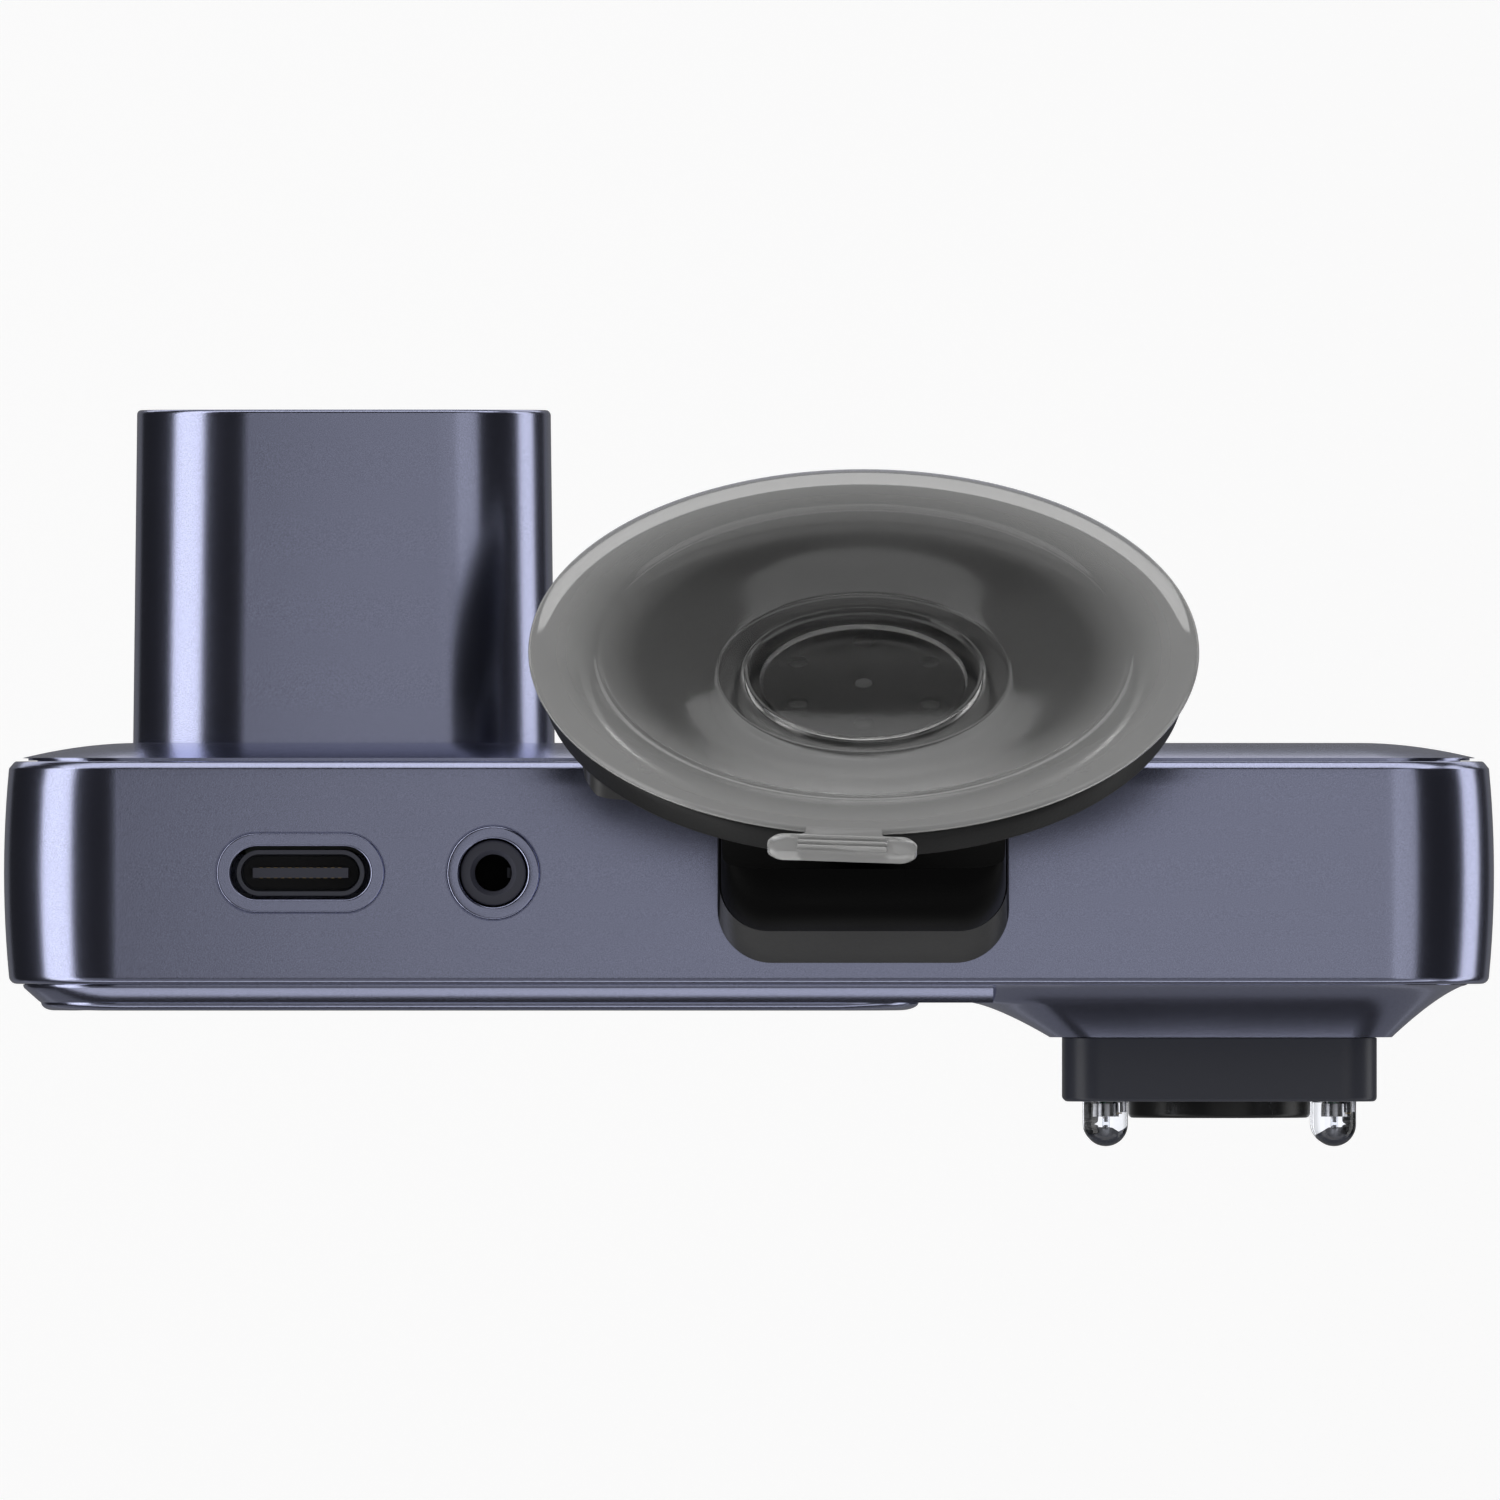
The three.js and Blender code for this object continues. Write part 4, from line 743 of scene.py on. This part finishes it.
av_plate = lathe([
    (2.4, TOP - 1.1), (3.28, TOP - 1.1), (3.28, TOP - 0.2), *arc(3.1, TOP - 0.2, 0.18, 0, 90),
    *arc(2.58, TOP - 0.2, 0.18, 90, 180),
])
piece("av_bezel_ring", lifted(av_plate, AV_X, 0), METAL, "camera", stands_for=["av_bezel"])
collar = lathe([
    (1.3, TOP - 4.3), (2.3, TOP - 4.3), (2.3, TOP - 0.5), *arc(2.15, TOP - 0.5, 0.15, 0, 90),
    (1.62, TOP - 0.35), (1.3, TOP - 0.7),
])
piece("av_collar", lifted(collar, AV_X, 0), PORT_PLASTIC, "camera", stands_for=["av_sleeve"])
spring = block((AV_X + 0.95, -0.35, TOP - 9), (AV_X + 1.2, 0.35, TOP - 4.6))
piece("av_spring", spring, PORT_METAL, "camera")

# ---------------- screen and keys

glass_front = SCREEN_FACE + 0.08
piece("screen_cover_glass", prism(screen_outline(0, 1.5), glass_front, glass_front + 0.92),
      SCREEN, "camera", stands_for=["screen_glass"], bevel=0.15)
border = cut(
    prism(screen_outline(0.25, 1.3), glass_front - 0.012, glass_front + 0.02),
    prism(screen_outline(2.9, 0.5), -THROUGH, THROUGH),
)
piece("screen_printed_border", border, SMOOTH_BLACK, "camera")


def triangle(size, turn):
    return arc(0, 0, size, turn, turn + 240, 2)


def mark_of(kind):
    """The outlines of a key's plain sign, about its middle."""
    if kind == "menu":
        return [centred(0, z, 1.9, 0.26, 0.1, 3) for z in (-0.6, 0, 0.6)]
    if kind == "up":
        return [triangle(0.95, 90)]
    if kind == "down":
        return [triangle(0.95, 270)]
    if kind == "record":
        return [centred(0, 0, 1.3, 1.3, 0.65, 8)]
    return [centred(0, 0.35, 0.26, 1.1, 0.1, 3)]


MARK_PAINT = Look("key_mark_paint", (0.55, 0.56, 0.58), 0.45)
MARK_PAINT = MARK_PAINT.bump(MARK_PAINT.noise(4000, 2), 0.1).material


def key_outline(x, grow):
    width, height = KEY_LONG + 2 * grow, KEY_SHORT + 2 * grow
    return centred(x, KEY_Z, width, height, height / 2, 16)


def key(kind, x):
    """A key's cap with a soft crown and a skirt behind the cover, and its painted sign."""
    face, back = SCREEN_FACE + 0.12, -FRONT + 0.9
    crown = ((0, 1.6), (0.04, 1.05), (0.18, 0.55), (0.45, 0.2), (1, 0))
    levels = [(face + 0.4 * rise, key_outline(x, -0.4 * share)) for rise, share in crown]
    cap = loft([*levels, (back, key_outline(x, 0))])
    skirt = prism(key_outline(x, 0.35), -FRONT + 0.12, back)
    body = kind + "_key"
    piece(body + "_cap", joined(cap, skirt), METAL, body, stands_for=[body], sharp=40)
    marks = [[(x + a, KEY_Z + b) for a, b in outline] for outline in mark_of(kind)]
    signs = [prism(outline, face - 0.015, face + 0.05) for outline in marks]
    if kind == "power":
        ring = lathe([(0.62, -0.015), (0.88, -0.015), (0.88, 0.05), (0.62, 0.05)], 40)
        signs.append(moved(facing_y(ring, x, KEY_Z - 0.1), Matrix.Translation((0, face, 0))))
    piece(body + "_mark", joined(*signs), MARK_PAINT, body)


for kind, place_x in zip(KEYS, KEY_PLACES):
    key(kind, place_x)

# ---------------- cabin camera

CABIN_FACE = RIDGE_TOP - 4.55
CABIN_WIDTH, CABIN_CORNER, RING_R = 22.05, 2.7, 6.4
LED_R, LED_FLANGE, LED_SPREAD = 1.55, 1.75, 8.02
LEDS = [(RIDGE_X + sx * LED_SPREAD, sz * LED_SPREAD) for sx in (-1, 1) for sz in (1, -1)]


def cabin_square(width, corner):
    return centred(RIDGE_X, 0, width, width, corner, 14)


cabin_outer = loft(
    [(CABIN_FACE + 0.3 - 0.3 * rise, cabin_square(CABIN_WIDTH - 0.6 * drop, CABIN_CORNER - 0.3 * drop))
     for rise, drop in eased(5)][::-1] + [(RIDGE_TOP - 0.1, cabin_square(CABIN_WIDTH, CABIN_CORNER))]
)
cabin_block = cut(
    cabin_outer,
    prism(cabin_square(CABIN_WIDTH - 2.2, CABIN_CORNER - 1.1), CABIN_FACE + 1.1, 0),
    facing_y(rod(RING_R + FIT, -THROUGH, 0, 96), RIDGE_X),
    joined(*[facing_y(rod(1.67, -THROUGH, 0, 40), x, z) for x, z in LEDS]),
)
piece("cabin_block", cabin_block, CABIN_SLATE, "camera", stands_for=["cabin_housing"])

ring_top = CABIN_FACE - 1.19
cabin_ring = lathe([
    (3.55, CABIN_FACE + 1), (3.55, CABIN_FACE + 0.2), (3.9, CABIN_FACE - 0.1), (3.9, CABIN_FACE - 0.25),
    (4.5, CABIN_FACE - 0.55), (4.5, CABIN_FACE - 0.7), (5.1, ring_top + 0.15), (5.3, ring_top),
    (6.1, ring_top), *[(x, ring_top + 0.3 - (y - ring_top)) for x, y in arc(6.1, ring_top, 0.3, 90, 0)],
    (RING_R, CABIN_FACE + 1),
], 128)
piece("cabin_trim_ring", facing_y(cabin_ring, RIDGE_X), SMOOTH_BLACK, "camera",
      stands_for=["cabin_lens_ring"])
rim = CABIN_FACE + 0.3
cabin_dome = lathe([
    (0, CABIN_FACE + 1), (3.3, CABIN_FACE + 1), (3.4, CABIN_FACE + 0.9), (3.4, rim),
    *[(r, 2 * rim - y) for r, y in dome(3.3, rim, 0.8)],
])
piece("cabin_glass", facing_y(cabin_dome, RIDGE_X), CABIN_GLASS, "camera", stands_for=["cabin_lens_glass"])
cabin_iris = lathe([(1.1, CABIN_FACE + 1.35), (3.3, CABIN_FACE + 1.3), (3.3, CABIN_FACE + 1.6),
                    (1.1, CABIN_FACE + 1.45)])
piece("cabin_iris", facing_y(cabin_iris, RIDGE_X), BLACK, "camera")

led_rear, led_tip = CABIN_FACE + 2.35, CABIN_FACE - 3.15
collar_at = CABIN_FACE + 1.25
dome_at = led_tip + LED_R
lamp = lathe([
    (0, led_rear), (LED_FLANGE, led_rear), (LED_FLANGE, collar_at), (LED_R, collar_at), (LED_R, dome_at),
    *[(r, 2 * dome_at - y) for r, y in arc(0, dome_at, LED_R, 0, 90, 12)[1:-1]], (0, led_tip),
], 48)
cup_at = led_tip + 2.1
reflector = lathe([(0, cup_at + 0.55), (0.28, cup_at + 0.5), (0.52, cup_at), (0.62, cup_at),
                   (0.6, cup_at + 0.9), (0.3, cup_at + 1.3), (0, cup_at + 1.3)], 32)
for number, (x, z) in enumerate(LEDS, 1):
    node = f"ir_led_{number}"
    piece(node + "_lens", facing_y(lamp, x, z), RESIN, "camera", stands_for=[node],
          sharp=40)
    post = block((x - 0.2, cup_at + 1.1, z - 0.2), (x + 0.2, led_rear - 0.1, z + 0.2))
    wire_post = block((x + 0.72, cup_at + 0.3, z - 0.18), (x + 1.02, led_rear - 0.1, z + 0.18))
    bond = block((x + 0.02, cup_at + 0.2, z - 0.03), (x + 0.8, cup_at + 0.28, z + 0.03))
    die = block((x - 0.14, cup_at + 0.38, z - 0.14), (x + 0.14, cup_at + 0.54, z + 0.14))
    frame_pieces = joined(facing_y(reflector, x, z), post, wire_post)
    piece(node + "_frame", frame_pieces, STEEL, "camera")
    piece(node + "_die", joined(die, bond), GOLD, "camera")

# ---------------- memory card

card_left = -WIDTH / 2 + 0.4
card_plate = cut(
    prism(rounded(card_left, -5.5, card_left + 15, 5.5, 0.8, 8), -5.8, -4.8),
    block((card_left + 6, -THROUGH, 4.6), (card_left + 7.2, THROUGH, THROUGH)),
)
piece("memory_card_body", card_plate, BLACK, "memory_card", stands_for=["memory_card"],
      bevel=0.1)
pads = [block((card_left + 11.6, -5.82, -4.2 + 1.15 * i), (card_left + 14.4, -5.78, -3.4 + 1.15 * i))
        for i in range(8)]
piece("memory_card_contacts", joined(*pads), GOLD, "memory_card")
nail_rib = prism(centred(card_left + 0.5, 0, 0.5, 7, 0.2, 4), -5.86, -5.7)
piece("memory_card_rib", nail_rib, BLACK, "memory_card")

# ---------------- suction cup and its insert

LIP, GROOVE, SHOULDER, FLOOR = 23.4, 18.65, 10.6, 8.3
TAB_HALF, TAB_END, TAB_CORNER = 5.2, -LIP - 2.9, 1.0
INSERT_R, DEPTH_IN, SKIN = 7.2, 2.25, 0.9
INSERT_FRONT = -(DEPTH_IN + SKIN + FIT)
INSERT_BACK = INSERT_FRONT - 0.9
POCKET_FLOOR = -(DEPTH_IN + SKIN)
cup_rear = POCKET_FLOOR - 0.8


def smooth_line(points, steps=6):
    """A soft curve through points (Catmull-Rom), so that turned rubber has no creases."""
    line = []
    for i in range(len(points) - 1):
        before, start = points[max(i - 1, 0)], points[i]
        end, after = points[i + 1], points[min(i + 2, len(points) - 1)]
        for k in range(steps):
            t = k / steps
            line.append(tuple(
                0.5 * (2 * p1 + (p2 - p0) * t + (2 * p0 - 5 * p1 + 4 * p2 - p3) * t * t
                       + (3 * p1 - p0 - 3 * p2 + p3) * t ** 3)
                for p0, p1, p2, p3 in zip(before, start, end, after)
            ))
    return [*line, points[-1]]


def suction_cup():
    face = [
        (0, -DEPTH_IN), (FLOOR - 0.45, -DEPTH_IN), (FLOOR - 0.15, -DEPTH_IN + 0.1),
        (FLOOR, -DEPTH_IN + 0.26), (FLOOR + 0.18, -DEPTH_IN + 0.06), (FLOOR + 0.4, -DEPTH_IN),
        *smooth_line([(FLOOR + 0.9, -DEPTH_IN + 0.02), (SHOULDER - 0.5, -DEPTH_IN + 0.1),
                      (SHOULDER, -DEPTH_IN + 0.4), (GROOVE - 5, -1.06), (GROOVE - 2.5, -0.64),
                      (GROOVE - 0.25, -0.34)]),
        (GROOVE - 0.12, -0.4), (GROOVE + 0.02, -0.4), (GROOVE + 0.14, -0.27),
        *smooth_line([(GROOVE + 0.5, -0.24), (20.6, -0.08), (22.3, -0.01)]),
        (LIP - 0.28, 0), *arc(LIP - 0.28, -0.28, 0.28, 90, 0), (LIP - 0.05, -0.42), (LIP - 0.5, -0.7),
        *smooth_line([(LIP - 1.4, -0.92), (GROOVE, -1.9), (14.5, -2.6), (SHOULDER + 0.6, cup_rear + 0.75)]),
        (INSERT_R + FIT + 1.4, cup_rear), (INSERT_R + FIT, cup_rear), (INSERT_R + FIT, POCKET_FLOOR),
        (0, POCKET_FLOOR),
    ]
    return cup_with_tab(lathe(face, 160))


def tab_outline():
    """The pull tab's outline below the disc: a short neck that widens to a bar with round ends."""
    neck, fillet = 2.7, 0.45
    shoulder = -LIP - 0.55
    low, high = TAB_END + TAB_CORNER, shoulder - TAB_CORNER
    side = TAB_HALF - TAB_CORNER
    return [
        (neck, -LIP + 0.6), (neck, shoulder + fillet),
        *arc(neck + fillet, shoulder + fillet, fillet, 180, 270)[1:],
        *arc(side, high, TAB_CORNER, 90, 0, 8), *arc(side, low, TAB_CORNER, 0, -90, 8),
        *arc(-side, low, TAB_CORNER, 270, 180, 8), *arc(-side, high, TAB_CORNER, 180, 90, 8),
        *arc(-neck - fillet, shoulder + fillet, fillet, 270, 360)[:-1], (-neck, shoulder + fillet),
        (-neck, -LIP + 0.6),
    ]


def cup_with_tab(disc):
    sheet = tab_outline()
    middle = (TAB_END - LIP) / 2
    shrunk = [(x * 0.96, middle + (y - middle) * 0.96) for x, y in sheet]
    tab = loft([(-0.8, shrunk), (-0.66, sheet), (-0.2, sheet), (-0.05, shrunk)], along_z)
    ribs = [
        loft([(-0.2, centred(0, y, 6.4, 0.36, 0.17, 4)), (0.1, centred(0, y, 6.3, 0.3, 0.14, 4)),
              (0.2, centred(0, y, 6.1, 0.16, 0.07, 4))], along_z)
        for y in (TAB_END + 0.5 + 0.65 * i for i in range(3))
    ]
    turn = Matrix.Rotation(math.radians(-3.5), 4, "Z")
    return solved(disc, [moved(shell, turn) for shell in (tab, *ribs)], "UNION")


cup = piece("clear_cup", suction_cup(), RUBBER, "mount", CUP, stands_for=["suction_cup"],
            sharp=50)
# The rubber is clear over the insert, faintly cloudy on its cone and milky towards its lip.
milk = cup.data.attributes.new("milk", "FLOAT", "POINT")
to_cup = CUP.inverted()
for index, vertex in enumerate(cup.data.vertices):
    local = to_cup @ vertex.co
    out = math.hypot(local.x, local.y)
    cone = min(max((out - 8.0) / 1.2, 0), 1)
    rim_share = min(max((out - GROOVE + 3) / (LIP - GROOVE + 1), 0), 1)
    milk.data[index].value = 0.07 * cone + 0.45 * rim_share
cup.parent = None  # taken off the mount's empty; its placing is baked into its mesh below
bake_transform(cup)

insert_disc = lathe([
    (0, -8.5), (2.4, -8.5), (2.6, -8.3), (2.6, INSERT_BACK - 0.3), (3.0, INSERT_BACK), (7.0, INSERT_BACK),
    (7.2, INSERT_BACK + 0.2), (7.2, INSERT_FRONT - 0.2), *arc(7.0, INSERT_FRONT - 0.2, 0.2, 0, 90),
    (1.1, INSERT_FRONT), (0.95, INSERT_FRONT - 0.1), (0, INSERT_FRONT - 0.1),
], 96)
dimple_places = [(5.4 * math.cos(a), 5.4 * math.sin(a)) for a in ((i + 0.5) * math.pi / 3 for i in range(6))]
dimples = [lifted(rod(0.75, INSERT_FRONT - 0.45, INSERT_FRONT + 1, 24), x, y) for x, y in dimple_places]
PIN_HEIGHT = -7.5


def cross_bore(radius, reach):
    return moved(rod(radius, -reach, reach, 24),
                 Matrix.Translation((0, 0, PIN_HEIGHT)) @ Matrix.Rotation(math.pi / 2, 4, "Y"))


piece("cup_button", cut(insert_disc, joined(*dimples), cross_bore(0.6, 8.4)), BUTTON_BLACK, "insert", CUP,
      stands_for=["cup_insert"])
gate = lathe([(0, INSERT_FRONT - 0.1), (0.62, INSERT_FRONT - 0.1), (0.45, INSERT_FRONT + 0.02),
              (0.2, INSERT_FRONT + 0.05), (0, INSERT_FRONT - 0.02)], 24)
piece("cup_button_gate", gate, GATE_GREY, "insert", CUP)
dimple_floor = lathe([(0, -0.02), (0.7, -0.02), (0.72, 0.1), (0.6, 0.03), (0, 0.02)], 24)
floors = [lifted(dimple_floor, x, y, INSERT_FRONT - 0.43) for x, y in dimple_places]
piece("cup_button_dimples", joined(*floors), DIMPLE_GREY, "insert", CUP)

# ---------------- dish, lever and ball stud

dish_outline = [
    (2.8, -5.55), (9.2, -5.55), *smooth_line([(11.0, -5.2), (11.8, -4.75), (15.2, -3.6), (GROOVE, -2.35)]),
    (20.7, -1.8), *arc(22.0, -1.5, 0.4, 130, 20, 5), (22.4, -1.75), (22.4, -2.75),
    *arc(22.2, -2.75, 0.2, 0, -90, 4), *smooth_line([(21.6, -3.0), (17, -4.6), (13.6, -6.25)]),
    (12.1, -6.72), (12.0, -6.75), (5.4, -6.75), (5.4, -10.45), (5.25, -10.6), (3.75, -10.6), (3.75, -6.75),
    (2.8, -6.75),
]
pin_slot = block((-6.4, -0.65, -9.2), (6.4, 0.65, -6.8))
piece("cup_dish", cut(lathe(dish_outline, 160), pin_slot), DISH_BLACK, "mount", CUP,
      stands_for=["mount_dish"], sharp=30)


def round_z(radius, height, turn):
    return (radius * math.cos(turn), radius * math.sin(turn), height)


def helical_slot(start):
    """A slot for the cross pin, from a start in degrees: it falls by 1 mm in a turn of 60 degrees."""
    levels = []
    for i in range(17):
        turn = -7 + 74 * i / 16
        height = PIN_HEIGHT - min(max(turn, 0), 60) / 60
        low, high = height - 0.66, height + 0.66
        levels.append((math.radians(start - turn), [(4.4, low), (7.7, low), (7.7, high), (4.4, high)]))
    return loft(levels, round_z)


def lever():
    ring = lathe([
        (5.6, -6.9), (12.1, -6.9), *arc(12.1, -7.2, 0.3, 90, 0, 4)[1:], *arc(10.5, -8.4, 1.9, 0, -80, 7),
        (10.2, -10.3), (5.8, -10.3), (5.6, -10.1),
    ], 128)
    outline = [
        (10.4, -6.9), (14.0, -6.9), (19.3, -4.9), (19.9, -5.4), (19.9, -7.3), (19.2, -8.0), (10.4, -9.3),
    ]
    sheet = prism(outline, -4.9, 4.9, lambda radius, height, side: (radius, -side, height))
    round_off = prism(centred(0, 0, 39.8, 9.8, 1.8, 12), -THROUGH, THROUGH, along_z)
    grips = joined(*[
        block((15.2 + 1.15 * i, -3.6, -11), (15.65 + 1.15 * i, 3.6, -8.35 + 0.18 * i)) for i in range(4)
    ])
    wing = cut(kept(sheet, round_off), grips)
    wings = [moved(wing, Matrix.Rotation(math.radians(angle), 4, "Z")) for angle in (186, 366)]
    solid = solved(ring, wings, "UNION")
    # The two starts are 3 degrees apart, so they cut one wide slot, and the pin's far end has none.
    return cut(solid, helical_slot(0), helical_slot(math.pi), rod(5.6, -THROUGH, 0, 96))


piece("twist_lever_ring", lever(), LEVER_PLASTIC, "twist_lever", CUP, stands_for=["twist_ring"],
      bevel=0.18, sharp=32)

BALL_AT = -16.54
BALL_R, BALL_NECK = 4.2, 2.0
neck_turn = math.degrees(math.asin(BALL_NECK / BALL_R))
stud = lathe([
    (0, BALL_AT - BALL_R), *arc(0, BALL_AT, BALL_R, -90, 90 - neck_turn, 40)[1:], (BALL_NECK, -11.9),
    *arc(2.55, -11.8, 0.55, 180, 90, 5), (6.6, -11.25), (6.8, -11.05), (6.8, -10.75), (3.6, -10.75),
    (3.6, -9.85), (0, -9.85),
], 96)
piece("ball_and_flange", stud, FOOT_BLACK, "mount", CUP, stands_for=["ball_stud"], sharp=30)

# ---------------- seat ring, neck and foot

LINER_IN = BALL_R + FIT
SOCKET = LINER_IN + 0.5 + FIT
low_turn, high_turn = math.degrees(math.asin(0.9 / LINER_IN)), math.degrees(math.asin(2.5 / LINER_IN))
ring_shape = lathe([
    *[(x, y + BALL_AT) for x, y in arc(0, 0, LINER_IN, low_turn, high_turn, 12)], (5.2, BALL_AT + 2.5),
    (5.4, BALL_AT + 2.3), (5.4, BALL_AT + 0.9),
], 96)
notches = [moved(block((-6, -0.35, BALL_AT + 2), (6, 0.35, BALL_AT + 4)), Matrix.Rotation(t, 4, "Z"))
           for t in (0, math.pi / 2)]
piece("ball_seat_ring", cut(ring_shape, *notches), FOOT_BLACK, "seat", CUP, stands_for=["seat_ring"],
      sharp=30)

BALL = Matrix.Translation((MOUNT_X, 1.8, TOP + 8.2)) @ Matrix.Rotation(math.radians(-57.2), 4, "X")
FOOT_REAR, FOOT_REAR_TOP, FOOT_FRONT = -6.2, -4.06, 7.0


def foot_and_neck():
    def level(z, width, rear, ahead, corner):
        return TOP + z, rounded(MOUNT_X - width / 2, rear, MOUNT_X + width / 2, ahead, corner, 20)

    slope = FOOT_REAR_TOP - FOOT_REAR
    plate = loft([
        level(0.15, 20.1, -6.15, 6.85, 3.65), level(0.3, 20.4, -6.3, FOOT_FRONT, 3.8),
        level(0.75, 20.4, -6.3, FOOT_FRONT, 3.8), *[
            level(0.9 + 1.9 * share, 20.36 - 0.16 * share, FOOT_REAR + slope * share, FOOT_FRONT,
                  3.78 - 0.38 * share)
            for share in (0, 0.5, 1)
        ],
    ], along_z)
    lean = smooth_line([(-0.2, 0), (5.2, 0), (8.6, 0.6), (10.6, 1.6), (11.8, 3.0), (12.4, 4.6)], 5)
    head = loft([
        level(2.8 + rise, 19.9 - 0.1 * max(forward, 0), FOOT_REAR_TOP + max(forward, 0), FOOT_FRONT, 3.3)
        for rise, forward in lean
    ], along_z)
    ahead = block((-THROUGH, -THROUGH, 2.5), (THROUGH, THROUGH, THROUGH))
    ball_hole = lathe([(0, -SOCKET), *arc(0, 0, SOCKET, -90, 90, 36)[1:-1], (0, SOCKET)], 72)
    mouth_hole = rod(5.55, 0.75, THROUGH, 96)
    bores = joined(*[lifted(rod(1.1, TOP - 5, TOP + 2.3, 20), MOUNT_X, y) for y in (-3.1, 3.4)])
    tools = [moved(ahead, BALL), moved(ball_hole, BALL), moved(mouth_hole, BALL), bores]
    return solved(cut(plate, *tools), [cut(head, *tools)], "UNION")


neck = piece("neck_and_foot", foot_and_neck(), FOOT_BLACK, "neck", stands_for=["neck_block"],
             bevel=0.22, sharp=30)
# The foot's faces that face rearwards, between 0.3 and 2.7 mm above the body, get the lighter, glossier
# black: a painted highlight on that side.
neck.data.materials.append(FOOT_REAR_HIGHLIGHT_BLACK)
to_body = BODY.inverted()
for face in neck.data.polygons:
    height = (to_body @ neck.matrix_world @ face.center).z - TOP
    if 0.3 < height < 2.7 and face.normal.y < -0.2:
        face.material_index = 1

# ---------------- studio: floor, lights and camera


def area_light(name, place, toward, width, height, radiance):
    lamp_data = bpy.data.lights.new(name, "AREA")
    lamp_data.shape, lamp_data.size, lamp_data.size_y = "RECTANGLE", width, height
    lamp_data.energy = radiance * math.pi * width * height
    light = bpy.data.objects.new(name, lamp_data)
    light.location = place
    light.rotation_euler = (Vector(toward) - Vector(place)).to_track_quat("-Z", "Y").to_euler()
    light.visible_camera = False
    bpy.context.scene.collection.objects.link(light)
    return light


middle = BODY @ Vector((0.07, 8.6, TOP))
aim = Vector((middle.x, middle.y, middle.z))
# Each light: its turn from +X and its angle from straight up, both in degrees, then its distance, size and
# radiance. The metal's reflections follow these zones.
LIGHTS = [
    ("left_strip", 180, 68, 0.6, 1.2, 0.36, 1.5),
    ("right_high", 0, 31, 0.5, 0.7, 0.2, 0.48),
    ("right_low", 0, 106, 0.6, 1.2, 0.25, 1.15),
    ("front_box", 90, 79, 0.6, 1.1, 0.32, 1.1),
    ("front_low", 90, 139, 0.6, 1.0, 0.3, 0.8),
    ("rear_box", 270, 82, 0.6, 1.1, 0.24, 0.65),
    ("rear_high", 270, 50, 0.9, 1.5, 0.5, 0.16),
    ("rear_low", 270, 130, 0.7, 1.2, 0.42, 0.13),
    *[(f"corner_{turn}", turn, 78, 1.2, 0.5, 0.7, 0.22) for turn in (45, 135, 225, 315)],
]


def light_at(name, turn, down, reach, width, height, radiance):
    turn, down = math.radians(turn), math.radians(down)
    way = Vector((math.cos(turn) * math.sin(down), math.sin(turn) * math.sin(down), math.cos(down)))
    area_light(name, aim + reach * way, aim, width, height, radiance)


area_light("overhead", aim + Vector((0.0575, 0, 0.5)), aim + Vector((0.0575, 0, 0)), 0.265, 0.6, 0.32)
area_light("below", aim - Vector((0, 0, 0.7)), aim, 1.1, 1.1, 0.14)
for light in LIGHTS:
    light_at(*light)

low, high = cad_box
floor_look = Look("pale_floor", (0.95, 0.95, 0.95), 0.9, emission_color=(1, 1, 1, 1), emission_strength=0.2)
floor_look.bump(floor_look.noise(30, 3), 0.02)
floor = bpy.data.objects.new("floor", mesh_of(block((-4, -4, -0.02), (4, 4, 0))))
floor.location = (0, 0, low.z - 0.9)
floor.data.materials.append(floor_look.material)
floor.visible_glossy = False
bpy.context.scene.collection.objects.link(floor)

world = bpy.data.worlds.new("studio")
bpy.context.scene.world = world
world.use_nodes = True
nodes, links = world.node_tree.nodes, world.node_tree.links
path = nodes.new("ShaderNodeLightPath")


def backdrop(node, strength):
    node.inputs["Color"].default_value, node.inputs["Strength"].default_value = (1, 1, 1, 1), strength
    return node.outputs[0]


def by_ray(kind, others, chosen):
    """One light for rays of a kind and another for all others."""
    mix = nodes.new("ShaderNodeMixShader")
    links.new(path.outputs[kind], mix.inputs[0])
    links.new(others, mix.inputs[1])
    links.new(chosen, mix.inputs[2])
    return mix.outputs[0]


diffuse, glossy, seen = 0.6, 0.02, 1.0
around = by_ray("Is Glossy Ray", backdrop(nodes["Background"], diffuse),
                backdrop(nodes.new("ShaderNodeBackground"), glossy))
whole = by_ray("Is Camera Ray", around, backdrop(nodes.new("ShaderNodeBackground"), seen))
links.new(whole, nodes["World Output"].inputs["Surface"])

FRAME_WIDTH, LENS, SENSOR = 0.105, 1500.0, 36.0
camera_data = bpy.data.cameras.new("camera")
camera_data.lens, camera_data.sensor_width = LENS, SENSOR
distance = FRAME_WIDTH * LENS / SENSOR
camera_data.clip_start, camera_data.clip_end = 0.1, distance + 20
camera = bpy.data.objects.new("camera", camera_data)
camera.location = aim + Vector((0, 0, distance))
camera.rotation_euler = (0, 0, 0)
bpy.context.scene.collection.objects.link(camera)
bpy.context.scene.camera = camera
bpy.context.scene.view_settings.view_transform = "Standard"
